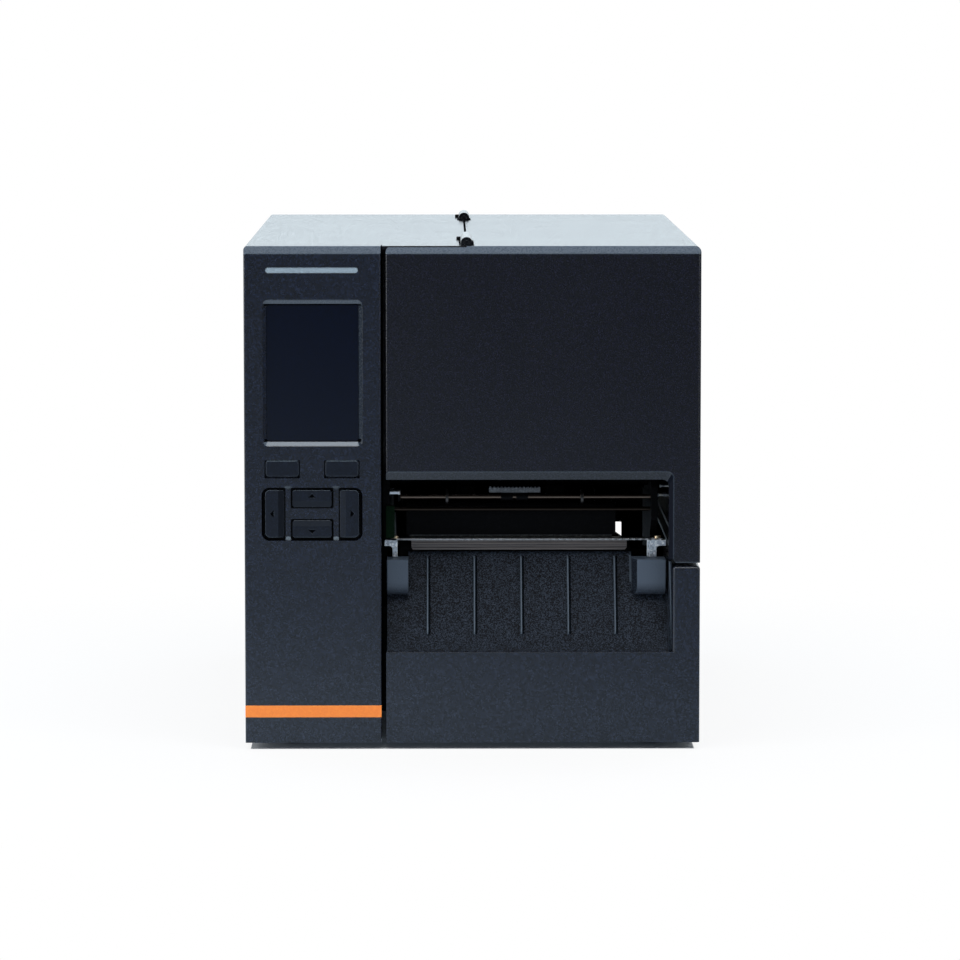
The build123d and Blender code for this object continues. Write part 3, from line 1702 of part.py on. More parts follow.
def build_media_supply():
    """The hanger that carries the label roll, and the guard that slides along it against the roll."""
    with BuildPart() as hanger:
        rod(plate_right, plate_right + hanger_flange, hanger_y, hanger_z, hanger_flange_radius)
        rod(plate_right, plate_right + hanger_length, hanger_y, hanger_z, hanger_radius)
        rod(
            plate_right + hanger_flange,
            plate_right + hanger_length + overrun,
            hanger_y,
            hanger_z,
            hanger_radius - hanger_wall,
            mode=Mode.SUBTRACT,
        )
    keep("media_hanger", hanger)
    with BuildPart() as guard:
        rod(guard_x, guard_x + guard_width, hanger_y, hanger_z, hanger_radius + seat_gap + guard_ring)
        with BuildSketch(side_on(guard_x)):
            with Locations((hanger_y, hanger_z + guard_height / 2)):
                RectangleRounded(guard_plate_width, guard_height, guard_ring)
        extrude(amount=guard_plate)
        rod(
            guard_x - overrun,
            guard_x + guard_width + overrun,
            hanger_y,
            hanger_z,
            hanger_radius + seat_gap,
            mode=Mode.SUBTRACT,
        )
    keep("media_guard", guard)


def build_damper_arm():
    """The sprung arm whose bar takes up slack in the label web."""
    hub_left = plate_right + seat_gap
    run, rise = damper_bar_y - damper_y, damper_bar_z - damper_z
    reach = hypot(run, rise)
    lean = Plane(
        origin=(hub_left, damper_y, damper_z),
        x_dir=(0, run / reach, rise / reach),
        z_dir=(1, 0, 0),
    )
    with BuildPart() as arm:
        with BuildSketch(lean):
            with Locations((reach / 2, 0)):
                Rectangle(reach, 2 * damper_bar_radius)
            Circle(damper_hub_radius)
            with Locations((reach, 0)):
                Circle(damper_bar_radius)
            Circle(damper_pin_radius + running_fit, mode=Mode.SUBTRACT)
        extrude(amount=damper_arm_width)
        rod(hub_left, hub_left + damper_bar_length, damper_bar_y, damper_bar_z, damper_bar_radius)
    keep("damper_arm", arm)


# Electronics


def build_main_board():
    """The main board on its stand-offs, and at its rear edge the two data ports in their plate."""
    with BuildPart() as board:
        with BuildSketch(side_on(port_right)):
            panel(main_board_front_y, main_board_back_y, main_board_bottom, main_board_top, corner_radius)
        extrude(amount=board_thickness)
    keep("main_board", board)
    port_back = back - seat_gap
    reach = port_plate_margin + port_plate_lap
    with BuildPart() as ports:
        with BuildSketch(facing(back - rear_sheet - port_plate)):
            panel(
                port_right - port_width - reach,
                port_right + reach,
                ethernet_bottom - reach,
                usb_bottom + usb_height + reach,
                corner_radius,
            )
            for z0, h, w in port_shapes:
                panel(
                    port_right - w - seat_gap,
                    port_right + seat_gap,
                    z0 - seat_gap,
                    z0 + h + seat_gap,
                    mode=Mode.SUBTRACT,
                )
        extrude(amount=-port_plate)
        for z0, h, w in port_shapes:
            block(port_right - w, port_right, port_back - port_depth, port_back, z0, z0 + h)
            block(
                port_right - w + port_wall,
                port_right - port_wall,
                port_back - port_socket_depth,
                port_back + overrun,
                z0 + port_wall,
                z0 + h - port_wall,
                mode=Mode.SUBTRACT,
            )
    keep("data_ports", ports)


def build_power():
    """The power supply box, the mains inlet with its three pins and switch housing, and the rocker."""
    supply_floor = floor_z + tray_wall
    with BuildPart() as supply:
        block(
            supply_left,
            supply_left + supply_width,
            supply_front_y,
            supply_back_y,
            supply_floor,
            supply_floor + supply_height,
        )
        chamfer(edges_at(supply, Axis.Y, Z=supply_floor + supply_height), supply_wall)
    keep("power_supply", supply)
    middle_z = (inlet_bottom + inlet_top) / 2
    with BuildPart() as inlet:
        block(
            inlet_left,
            inlet_right,
            back - inlet_depth,
            back,
            inlet_bottom,
            inlet_top,
        )
        block(
            plug_x - plug_width / 2,
            plug_x + plug_width / 2,
            back - plug_depth,
            back + overrun,
            middle_z - plug_height / 2,
            middle_z + plug_height / 2,
            mode=Mode.SUBTRACT,
        )
        block(
            rocker_x - rocker_width / 2 - rocker_fit,
            rocker_x + rocker_width / 2 + rocker_fit,
            back - rocker_depth,
            back + overrun,
            middle_z - rocker_height / 2 - rocker_fit,
            middle_z + rocker_height / 2 + rocker_fit,
            mode=Mode.SUBTRACT,
        )
        with BuildSketch(facing(back - plug_depth)):
            for x in (plug_x - plug_pin_pitch, plug_x, plug_x + plug_pin_pitch):
                with Locations((x, middle_z)):
                    Rectangle(plug_pin_width, plug_pin_height)
        extrude(amount=-plug_pin_length)
    keep("power_inlet", inlet)
    lean = Plane(
        origin=(rocker_x - rocker_width / 2, rocker_pivot_y, middle_z),
        x_dir=(0, cos(radians(rocker_angle)), sin(radians(rocker_angle))),
        z_dir=(1, 0, 0),
    )
    half = rocker_height / 2 - rocker_fit
    face = back - rocker_pivot_y - rocker_fit - rocker_height / 2 * sin(radians(rocker_angle))
    with BuildPart() as rocker:
        with BuildSketch(lean):
            outline(
                [
                    (-half / 2, half / 2),
                    (face, half),
                    (face - rocker_fit, 0),
                    (face, -half),
                    (-half / 2, -half / 2),
                ]
            )
        extrude(amount=rocker_width)
    keep("power_switch", rocker)


def build_all():
    """Builds every piece in turn."""
    build_front_panel()
    build_panel_trim()
    build_operator_board()
    for name, (x0, x1, z0, z1, slope) in key_outlines().items():
        build_nav_key(name, x0, x1, z0, z1, slope)
    for name, (x0, x1, z0, z1) in soft_key_outlines().items():
        build_soft_key(name, x0, x1, z0, z1)
    build_base()
    build_centre_plate()
    build_left_cover()
    build_rear_panel()
    build_lower_covers()
    build_chute()
    build_door()
    build_hinges()
    build_tear_bar()
    build_outer_bracket()
    build_deck()
    build_platen()
    build_drive()
    build_head()
    build_head_shafts()
    build_ribbon_rods()
    build_ribbon_spindles()
    build_media_supply()
    build_damper_arm()
    build_main_board()
    build_power()


build_all()
os.makedirs("parts", exist_ok=True)
for name, part in nodes.items():
    export_step(part, f"parts/{name}.step")
print(len(nodes), "nodes")
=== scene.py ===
"""Finishes, small detail, light and camera around the frame of an industrial label printer.

Metres throughout. The front faces -Y and up is +Z."""

import json
from math import cos, radians, sin

import bpy
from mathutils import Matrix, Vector


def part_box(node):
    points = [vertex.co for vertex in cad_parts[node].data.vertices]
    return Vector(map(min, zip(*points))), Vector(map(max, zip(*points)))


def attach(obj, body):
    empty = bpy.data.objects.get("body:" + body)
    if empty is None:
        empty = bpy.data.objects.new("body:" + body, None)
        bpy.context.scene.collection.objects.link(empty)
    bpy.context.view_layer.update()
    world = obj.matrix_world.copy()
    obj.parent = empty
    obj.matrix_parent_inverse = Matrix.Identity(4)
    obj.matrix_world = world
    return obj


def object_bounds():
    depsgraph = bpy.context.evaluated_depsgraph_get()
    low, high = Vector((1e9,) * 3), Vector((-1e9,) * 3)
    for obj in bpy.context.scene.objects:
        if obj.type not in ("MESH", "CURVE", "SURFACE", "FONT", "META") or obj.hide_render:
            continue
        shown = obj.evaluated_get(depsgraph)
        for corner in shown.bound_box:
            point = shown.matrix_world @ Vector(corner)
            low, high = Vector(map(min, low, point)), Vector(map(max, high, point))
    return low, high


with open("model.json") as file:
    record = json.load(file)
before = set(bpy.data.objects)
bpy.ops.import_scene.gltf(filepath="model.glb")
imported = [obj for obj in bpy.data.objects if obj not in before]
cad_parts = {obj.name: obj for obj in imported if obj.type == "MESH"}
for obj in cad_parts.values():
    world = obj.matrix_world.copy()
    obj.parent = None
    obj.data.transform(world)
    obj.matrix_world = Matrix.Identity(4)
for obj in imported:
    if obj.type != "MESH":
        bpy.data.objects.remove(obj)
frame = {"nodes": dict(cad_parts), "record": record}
cad_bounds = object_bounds()
nodes = frame["nodes"]
MM = 0.001


# Colours

PICTURE_WHITE = 255
CURVE_START = 0.04045


def linear(red, green, blue):
    """A colour as a picture holds it, 0 to 255, in linear light, by the sRGB curve."""
    shares = [value / PICTURE_WHITE for value in (red, green, blue)]
    return tuple(((v + 0.055) / 1.055) ** 2.4 if v > CURVE_START else v / 12.92 for v in shares)


def shade(colour, share):
    """The colour made lighter or darker by a share."""
    return tuple(min(1.0, value * share) for value in colour)


BLACK = (0.0, 0.0, 0.0)
WHITE = (1.0, 1.0, 1.0)
# Black for painted shade, in the gaps round keys and along the glass.
PAINTED_SHADE_BLACK = (0.0, 0.0, 0.001)


# Helpers for nodes


def feed(tree, socket, value):
    """Links a socket to another node's output, or sets it to a plain value."""
    if isinstance(value, bpy.types.NodeSocket):
        tree.links.new(value, socket)
    else:
        socket.default_value = value


def set_inputs(tree, node, **inputs):
    """Links or sets the named inputs of a node. An underscore stands for a space in a name."""
    for name, value in inputs.items():
        feed(tree, node.inputs[name.replace("_", " ")], value)


def add_node(tree, kind, settings=None, **inputs):
    """A shader node with its settings and its inputs."""
    made = tree.nodes.new(kind)
    for name, value in (settings or {}).items():
        setattr(made, name, value)
    set_inputs(tree, made, **inputs)
    return made


def new_material(name):
    """A material, with its node tree, its Principled shader and the place on the object."""
    material = bpy.data.materials.new(name)
    material.use_nodes = True
    tree = material.node_tree
    place = tree.nodes.new("ShaderNodeTexCoord").outputs["Object"]
    return material, tree, tree.nodes["Principled BSDF"], place


def axes(tree, vector):
    """The X, Y and Z of a place or direction."""
    return add_node(tree, "ShaderNodeSeparateXYZ", Vector=vector).outputs


def facing(tree):
    """The X, Y and Z of the direction that the surface faces."""
    return axes(tree, tree.nodes.new("ShaderNodeNewGeometry").outputs["Normal"])


def maths(tree, operation, *values):
    """The result of a Math node for values or links."""
    made = add_node(tree, "ShaderNodeMath", {"operation": operation})
    for socket, value in zip(made.inputs, values):
        feed(tree, socket, value)
    return made.outputs[0]


def product(tree, first, *others):
    """The product of values. For masks, it is where all of them hold."""
    for value in others:
        first = maths(tree, "MULTIPLY", first, value)
    return first


def apart(tree, value, middle):
    """How far a value is from another, either way."""
    return maths(tree, "ABSOLUTE", maths(tree, "SUBTRACT", value, middle))


def over(tree, value, limit):
    """1 where a value is above a limit, and 0 elsewhere."""
    return maths(tree, "GREATER_THAN", value, limit)


def under(tree, value, limit):
    """1 where a value is below a limit, and 0 elsewhere."""
    return maths(tree, "LESS_THAN", value, limit)


def between(tree, value, low, high):
    """1 where a value lies between two others, and 0 elsewhere."""
    return product(tree, over(tree, value, low), under(tree, value, high))


def span(tree, value, low, high, start=0.3, end=0.7):
    """A value between a start and an end, spread between two numbers and held at them beyond."""
    made = add_node(tree, "ShaderNodeMapRange", Value=value)
    set_inputs(tree, made, From_Min=start, From_Max=end, To_Min=low, To_Max=high)
    return made.outputs["Result"]


def rising(tree, value, start, end):
    """0 up to the start, 1 from the end on, and even between them."""
    return span(tree, value, 0.0, 1.0, start, end)


def falling(tree, value, start, end):
    """1 up to the start, 0 from the end on, and even between them."""
    return span(tree, value, 1.0, 0.0, start, end)


def outside(tree, along, outline, radius):
    """The distance from a rounded rectangle in the plane of the front, below 0 inside it."""
    left, right, bottom, top = outline
    beyond = []
    for axis, low, high in (("X", left, right), ("Z", bottom, top)):
        from_middle = apart(tree, along[axis], (low + high) / 2)
        beyond.append(maths(tree, "SUBTRACT", from_middle, (high - low) / 2 - radius))
    squares = [maths(tree, "POWER", maths(tree, "MAXIMUM", value, 0.0), 2.0) for value in beyond]
    corner = maths(tree, "SQRT", maths(tree, "ADD", *squares))
    inside = maths(tree, "MINIMUM", maths(tree, "MAXIMUM", *beyond), 0.0)
    return maths(tree, "SUBTRACT", maths(tree, "ADD", corner, inside), radius)


def noise(tree, vector, size, detail, roughness=0.5):
    """Noise whose features have the given size in metres."""
    inputs = {"Vector": vector, "Scale": 1 / size, "Detail": detail, "Roughness": roughness}
    return add_node(tree, "ShaderNodeTexNoise", **inputs).outputs["Fac"]


def streaks(tree, place, scale):
    """Noise drawn out into fine lines, by its own scale on each axis."""
    scaled = add_node(tree, "ShaderNodeMapping", Vector=place, Scale=scale).outputs["Vector"]
    return add_node(tree, "ShaderNodeTexNoise", Vector=scaled, Scale=1.0, Detail=3.0).outputs["Fac"]


def cells(tree, place, size):
    """A random value from 0 to 1 for each small cell of the surface."""
    made = add_node(tree, "ShaderNodeTexVoronoi", Vector=place, Scale=1 / size)
    return add_node(tree, "ShaderNodeSeparateColor", Color=made.outputs["Color"]).outputs["Red"]


def blend_colours(tree, factor, first, second):
    """A mix of two colours."""
    made = tree.nodes.new("ShaderNodeMix")
    made.data_type = "RGBA"
    tree.links.new(factor, made.inputs["Factor"])
    for socket, value in ((made.inputs[6], first), (made.inputs[7], second)):
        feed(tree, socket, value if isinstance(value, bpy.types.NodeSocket) else (*value, 1.0))
    return made.outputs[2]


def mottled(tree, factor, colour, share):
    """A colour that varies by a share, darker to lighter with a factor."""
    return blend_colours(tree, factor, shade(colour, 1 - share), shade(colour, 1 + share))


EDGE_SAMPLES = 6
EDGE_TURN = (0.75, 0.995)


def edge_mask(tree, radius):
    """Near 1 along the edges of a piece and 0 on its faces, with the rounded normal."""
    bevel = add_node(tree, "ShaderNodeBevel", {"samples": EDGE_SAMPLES}, Radius=radius)
    geometry = tree.nodes.new("ShaderNodeNewGeometry")
    turn = add_node(tree, "ShaderNodeVectorMath", {"operation": "DOT_PRODUCT"})
    tree.links.new(bevel.outputs["Normal"], turn.inputs[0])
    tree.links.new(geometry.outputs["Normal"], turn.inputs[1])
    return falling(tree, turn.outputs["Value"], *EDGE_TURN), bevel.outputs["Normal"]


def uneven_gloss(tree, factor, roughness, spread):
    """A roughness that varies by a spread, smoother to rougher with a factor."""
    return span(tree, factor, roughness - spread, roughness + spread)


# Patches


def patch(find_mask, colour, smoother=0.0, dullness=0.0, **reach):
    """A colour laid over a finish where a mask holds, how much smoother it is there, and its dullness.

    Dullness is how far, from 0 to 1, a dark colour is left without the gloss of the face round it, as in
    a gap. All else that is given goes to the function that finds the mask."""
    # Dark patches with dullness mostly stand for painted shade.
    return find_mask, reach, colour, smoother, dullness


def lay(tree, place, patches, tint, polish, metal):
    """Lays patches over a finish, given and returned as its colour, extra polish and metallic share."""
    for find_mask, reach, colour, smoother, dullness in patches:
        mask = find_mask(tree, place, **reach)
        tint = blend_colours(tree, mask, tint, colour)
        if smoother:
            polish = maths(tree, "ADD", polish, product(tree, mask, smoother))
        if dullness:
            metal = maths(tree, "MAXIMUM", metal, product(tree, mask, dullness))
    return tint, polish, metal


# Kinds of finish

MOTTLE_SIZE = 60 * MM
MOTTLE_GLOSS = 0.01
DARK_CELLS = 0.6
LIGHT_FLECK = 3
FLECK_GLOSS = 1 / 6
WORN_SHARE = 1.5


def moulded(
    name,
    colour,
    roughness,
    grain=0.9 * MM,
    grain_depth=0.02 * MM,
    mottle=0.08,
    edge=0.35 * MM,
    wear_and_edge_highlight=None,
    metallic=0.0,
    specular=0.5,
    coat=0.0,
    fleck=0.3,
    sparkle=None,
    sparkle_share=0.3,
    patches=(),
    covers=(),
):
    """Paint or moulded plastic: fine grain, flecks, faint mottling, uneven gloss and lighter edges.

    Edges are slightly lighter as wear, and as a painted highlight where a light colour is given for them.
    Patches lie under the lighter edges, covers over them."""
    material, tree, shader, place = new_material(name)
    broad = noise(tree, place, MOTTLE_SIZE, detail=4.0, roughness=0.6)
    fine = noise(tree, place, grain, detail=1.0, roughness=0.5)
    random = cells(tree, place, grain)
    tint = mottled(tree, broad, colour, mottle)
    tint = blend_colours(tree, rising(tree, random, 0.0, DARK_CELLS), shade(colour, 1 - fleck), tint)
    light = shade(colour, 1 + LIGHT_FLECK * fleck)
    tint = blend_colours(tree, rising(tree, random, DARK_CELLS, 1.0), tint, light)
    if sparkle:
        tint = blend_colours(tree, rising(tree, random, 1 - sparkle_share, 1.0), tint, sparkle)
    tint, polish, metal = lay(tree, place, patches, tint, 0.0, metallic)
    mask, rounded = edge_mask(tree, edge)
    # Lighter edges: slight wear, and a painted highlight where a light colour is given.
    tint = blend_colours(tree, mask, tint, wear_and_edge_highlight or shade(colour, WORN_SHARE))
    tint, polish, metal = lay(tree, place, covers, tint, polish, metal)
    bump = add_node(tree, "ShaderNodeBump", Strength=1.0, Distance=grain_depth, Height=fine, Normal=rounded)
    glossy_cells = span(tree, random, FLECK_GLOSS * fleck, -FLECK_GLOSS * fleck, 0.0, 1.0)
    gloss = maths(tree, "ADD", uneven_gloss(tree, broad, roughness, MOTTLE_GLOSS), glossy_cells)
    set_inputs(
        tree,
        shader,
        Base_Color=tint,
        Roughness=maths(tree, "SUBTRACT", gloss, polish),
        Metallic=metal,
        Specular_IOR_Level=specular,
        Coat_Weight=coat,
        Normal=bump.outputs["Normal"],
    )
    return material


ALONG_LINES = 40.0
ACROSS_LINES = 2500.0
LINE_DEPTH = 0.01 * MM
LINE_GLOSS = 0.06
TARNISH = 0.15
TARNISH_SIZE = 15 * MM
METAL_EDGE = 0.3 * MM
METAL_EDGE_SHARE = 1.25


def brushed(name, colour, roughness, along=(1, 0, 0), dim_below=None, dim_share=0.22):
    """Bare metal with fine lines along one direction, uneven gloss and a little tarnish.

    Below a height, where one is given, it is darker, as painted shade."""
    material, tree, shader, place = new_material(name)
    lines = streaks(tree, place, [ALONG_LINES if share else ACROSS_LINES for share in along])
    broad = noise(tree, place, TARNISH_SIZE, detail=4.0)
    mask, rounded = edge_mask(tree, METAL_EDGE)
    tint = mottled(tree, broad, colour, TARNISH)
    tint = blend_colours(tree, mask, tint, shade(colour, METAL_EDGE_SHARE))
    if dim_below:
        dim = under(tree, axes(tree, place)["Z"], dim_below)
        tint = blend_colours(tree, dim, tint, shade(colour, dim_share))
    bump = add_node(tree, "ShaderNodeBump", Strength=0.6, Distance=LINE_DEPTH, Height=lines, Normal=rounded)
    set_inputs(
        tree,
        shader,
        Base_Color=tint,
        Metallic=1.0,
        Roughness=uneven_gloss(tree, lines, roughness, LINE_GLOSS),
        Normal=bump.outputs["Normal"],
    )
    return material


GROOVE_SIDES = (0.1, 0.4)
GROOVE_DEPTH = 0.1 * MM
GROOVE_SHADE_SHARE = 0.08
LAND_LIGHT_SHARE = 1.3
EXTRUSION_LINES = (30.0, 1500.0, 1500.0)
LINE_STRENGTH = 0.6
LINE_SHARE = 1.8
GROOVED_EDGE = 0.4 * MM
GROOVED_EDGE_SHARE = 2.2


def grooved(name, colour, roughness, pitch):
    """Dark extruded metal with grooves along X, one above the other at the given pitch."""
    material, tree, shader, place = new_material(name)
    share = maths(tree, "FRACT", maths(tree, "DIVIDE", axes(tree, place)["Z"], pitch))
    groove = rising(tree, apart(tree, share, 0.5), *GROOVE_SIDES)
    lines = streaks(tree, place, EXTRUSION_LINES)
    # Painted shade in the grooves and painted light on the lands between them.
    tint = blend_colours(tree, groove, shade(colour, GROOVE_SHADE_SHARE), shade(colour, LAND_LIGHT_SHARE))
    tint = blend_colours(tree, span(tree, lines, 0.0, LINE_STRENGTH), tint, shade(colour, LINE_SHARE))
    mask, rounded = edge_mask(tree, GROOVED_EDGE)
    tint = blend_colours(tree, mask, tint, shade(colour, GROOVED_EDGE_SHARE))
    relief = {"Strength": 0.8, "Distance": GROOVE_DEPTH, "Height": groove, "Normal": rounded}
    bump = add_node(tree, "ShaderNodeBump", **relief)
    set_inputs(
        tree,
        shader,
        Base_Color=tint,
        Metallic=0.3,
        Roughness=uneven_gloss(tree, lines, roughness, LINE_GLOSS),
        Normal=bump.outputs["Normal"],
    )
    return material


DUST_SIZE = 8 * MM
DUST_SHARE = 1.25
DUST_GLOSS = 0.03


def polished_glass(name, colour, roughness):
    """Dark glass in front of a dark display: near black, glossy, with a trace of dust."""
    material, tree, shader, place = new_material(name)
    dust = noise(tree, place, DUST_SIZE, detail=5.0)
    set_inputs(
        tree,
        shader,
        Base_Color=blend_colours(tree, dust, colour, shade(colour, DUST_SHARE)),
        Roughness=span(tree, dust, roughness, roughness + DUST_GLOSS),
        Specular_IOR_Level=0.5,
    )
    return material


SCUFF_SIZE = 3 * MM
SCUFF_GLOSS = (0.02, 0.09)


def smoked_glass(name, colour):
    """See-through smoked plastic with fine scratches."""
    material, tree, shader, place = new_material(name)
    scuffs = noise(tree, place, SCUFF_SIZE, detail=6.0)
    set_inputs(
        tree,
        shader,
        Base_Color=(*colour, 1.0),
        Roughness=span(tree, scuffs, *SCUFF_GLOSS),
        Transmission_Weight=0.85,
        IOR=1.49,
    )
    return material


# Places on the frame. An outline is its left, right, bottom and top, seen from the front

KEY_FLANGE = 1.0 * MM


def outline_of(node):
    """The outline of a node."""
    (left, _, bottom), (right, _, top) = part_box(node)
    return left, right, bottom, top


def key_face(key):
    """The outline of a key, without its hidden flange."""
    left, right, bottom, top = outline_of(key)
    return left + KEY_FLANGE, right - KEY_FLANGE, bottom + KEY_FLANGE, top - KEY_FLANGE


SIDE = cad_bounds[1][0]
FRONT = cad_bounds[0][1]
DOOR_LEFT, _, DOOR_BOTTOM, DOOR_TOP = outline_of("door_shell")
CHUTE_LEFT, CHUTE_RIGHT, CHUTE_BOTTOM, CHUTE_TOP = outline_of("exit_chute")
GLASS_LEFT, GLASS_RIGHT, GLASS_BOTTOM, GLASS_TOP = outline_of("display_glass")
KEYS_LEFT, LEFT_KEY_RIGHT, KEYS_BOTTOM, KEYS_TOP = key_face("left_key")
RIGHT_KEY_LEFT, KEYS_RIGHT, _, _ = key_face("right_key")
MIDDLE_KEYS_LEFT, MIDDLE_KEYS_RIGHT, _, _ = key_face("up_key")


# Where patches lie: which way a face leans, from the least to the greatest share of its normal along an axis

LEAN = 0.3
BEYOND_ANY = 2.0
WITH_AXIS = (LEAN, BEYOND_ANY)
AGAINST_AXIS = (-BEYOND_ANY, -LEAN)
ACROSS_AXIS = (-LEAN, LEAN)
SLOPE_WITH_AXIS = (0.15, 0.6)
SLOPE_AGAINST_AXIS = (-0.6, -0.15)
ROUNDED_TOP = (0.6, 0.95)


# Where patches lie: the chute

BLOCKS_BOTTOM = CHUTE_TOP - 24.7 * MM
BLOCKS_FADE = 8.0 * MM
BLOCKS_FOOT_SHARE = 0.35
LEFT_BLOCK_RIGHT = CHUTE_LEFT + 12.9 * MM
RIGHT_BLOCK = (CHUTE_RIGHT - 23.8 * MM, CHUTE_RIGHT - 3.1 * MM)


def smooth_blocks(tree, place):
    """The fronts of the two smooth blocks at the top of the chute, for painted light that fades out towards
    their feet.
    """
    along = axes(tree, place)
    left_block = under(tree, along["X"], LEFT_BLOCK_RIGHT)
    right_block = between(tree, along["X"], *RIGHT_BLOCK)
    fade_end = BLOCKS_BOTTOM + BLOCKS_FADE
    return product(
        tree,
        over(tree, along["Z"], BLOCKS_BOTTOM),
        span(tree, along["Z"], BLOCKS_FOOT_SHARE, 1.0, BLOCKS_BOTTOM, fade_end),
        maths(tree, "MAXIMUM", left_block, right_block),
        span(tree, maths(tree, "ABSOLUTE", facing(tree)["X"]), 1.0, 0.0),
    )


RIB_COUNT = 5
FIRST_RIB = CHUTE_LEFT + 0.144 * (CHUTE_RIGHT - CHUTE_LEFT)
RIB_PITCH = 0.1651 * (CHUTE_RIGHT - CHUTE_LEFT)
RIB_HALF_WIDTH = 0.75 * MM
RIB_SHADOW = 0.7 * MM
RIB_LIGHT_END = 0.1 * MM
RIB_ENDS = (CHUTE_BOTTOM + 19.0 * MM, CHUTE_TOP - 2.6 * MM)


def rib_band(tree, place, start, end):
    """A band along each of the chute's ribs, between two distances from the rib's middle."""
    along = axes(tree, place)
    from_start = maths(tree, "SUBTRACT", along["X"], FIRST_RIB - RIB_PITCH / 2)
    steps = maths(tree, "DIVIDE", from_start, RIB_PITCH)
    offset = product(tree, maths(tree, "SUBTRACT", maths(tree, "FRACT", steps), 0.5), RIB_PITCH)
    return product(
        tree,
        between(tree, offset, start, end),
        between(tree, steps, 0.0, RIB_COUNT),
        between(tree, along["Z"], *RIB_ENDS),
    )


BLOCK_RIB_SIDES = (CHUTE_RIGHT - 24.7 * MM, CHUTE_RIGHT - 23.9 * MM)
BLOCK_RIB_ENDS = (CHUTE_TOP - 17.6 * MM, CHUTE_TOP - 2.1 * MM)


def block_side_highlight(tree, place):
    """A painted highlight on the chute along the left side of the right block."""
    along = axes(tree, place)
    beside = between(tree, along["X"], *BLOCK_RIB_SIDES)
    return product(tree, beside, between(tree, along["Z"], *BLOCK_RIB_ENDS))


CHEEK_X = CHUTE_RIGHT - 1.7 * MM
CHEEK_LEAN = 0.03
CHEEK_TOP = CHUTE_TOP - 4.6 * MM
CHEEK_FRONT = FRONT + 3.6 * MM
CHEEK_LINE = 0.7 * MM
CHEEK_WIDTH = 6 * MM


def chute_cheek(tree, place, start, end):
    """The front edge of the chute's cheek, between two distances from its leaning left side."""
    along = axes(tree, place)
    leaning = product(tree, maths(tree, "SUBTRACT", CHEEK_TOP, along["Z"]), CHEEK_LEAN)
    offset = maths(tree, "SUBTRACT", maths(tree, "SUBTRACT", along["X"], CHEEK_X), leaning)
    return product(tree, between(tree, offset, start, end), under(tree, along["Y"], CHEEK_FRONT))


# Where patches lie: the covers

EXIT_RIGHT = CHUTE_RIGHT + 0.8 * MM
EXIT_FRAME = (-SIDE, EXIT_RIGHT, 0.0, DOOR_BOTTOM + 55.1 * MM)
EXIT_CORNER = 4.0 * MM
EXIT_LEFT = DOOR_LEFT + 1.0 * MM
EXIT_BOTTOM = DOOR_BOTTOM + 0.5 * MM
EXIT_SLOPE = (EXIT_RIGHT - 4.0 * MM, EXIT_RIGHT + 0.1 * MM)
OUTLINE_FADE = (0.1 * MM, 0.5 * MM)
OUTLINE_BACK = FRONT + 0.6 * MM
BEVEL_BACK = FRONT + 2.6 * MM


def exit_cheek(tree, place):
    """The right slope of the label exit."""
    along = axes(tree, place)
    return product(
        tree,
        under(tree, facing(tree)["X"], -LEAN),
        under(tree, along["Y"], BEVEL_BACK),
        between(tree, along["X"], *EXIT_SLOPE),
    )


def exit_edge_highlight(tree, place):
    """A thin painted highlight where the slope round the label exit meets the front.

    The frame of the exit runs on past the door at the left and below, so only its top and right side show."""
    along = axes(tree, place)
    distance = maths(tree, "ABSOLUTE", outside(tree, along, EXIT_FRAME, EXIT_CORNER))
    return product(
        tree,
        falling(tree, distance, *OUTLINE_FADE),
        over(tree, along["X"], EXIT_LEFT),
        over(tree, along["Z"], EXIT_BOTTOM),
        under(tree, along["Y"], OUTLINE_BACK),
    )


DOOR_FOOT = (DOOR_BOTTOM - 0.1 * MM, DOOR_BOTTOM + 0.7 * MM)
DOOR_LEG_LEFT = EXIT_RIGHT + 1.1 * MM


def door_foot_highlight(tree, place):
    """A thin painted highlight along the lower edge of the door's front, right of the label exit."""
    along = axes(tree, place)
    return product(
        tree,
        between(tree, along["Z"], *DOOR_FOOT),
        under(tree, along["Y"], BEVEL_BACK),
        over(tree, along["X"], DOOR_LEG_LEFT),
    )


OUTER_SIDE = SIDE - 2.5 * MM
OUTER_FRONT = FRONT + 5.5 * MM
OUTER_TOP = DOOR_TOP - 3.1 * MM


def shaded_inside_walls(tree, place):
    """All the walls inside the covers, for painted shade."""
    along = axes(tree, place)
    return product(
        tree,
        between(tree, along["X"], -OUTER_SIDE, OUTER_SIDE),
        between(tree, along["Y"], OUTER_FRONT, -OUTER_FRONT),
        under(tree, along["Z"], OUTER_TOP),
    )


CHAMFER_FOOT = DOOR_TOP - 4.6 * MM
CHAMFER_BACK = FRONT + 5.0 * MM


def top_chamfer(tree, place, leaning):
    """The faces along the top of the front whose normal leans up by a share within the given limits."""
    along = axes(tree, place)
    normal = facing(tree)
    return product(
        tree,
        between(tree, normal["Z"], *leaning),
        under(tree, normal["Y"], -LEAN),
        over(tree, along["Z"], CHAMFER_FOOT),
        under(tree, along["Y"], CHAMFER_BACK),
    )


# Where patches lie: the display and the keys

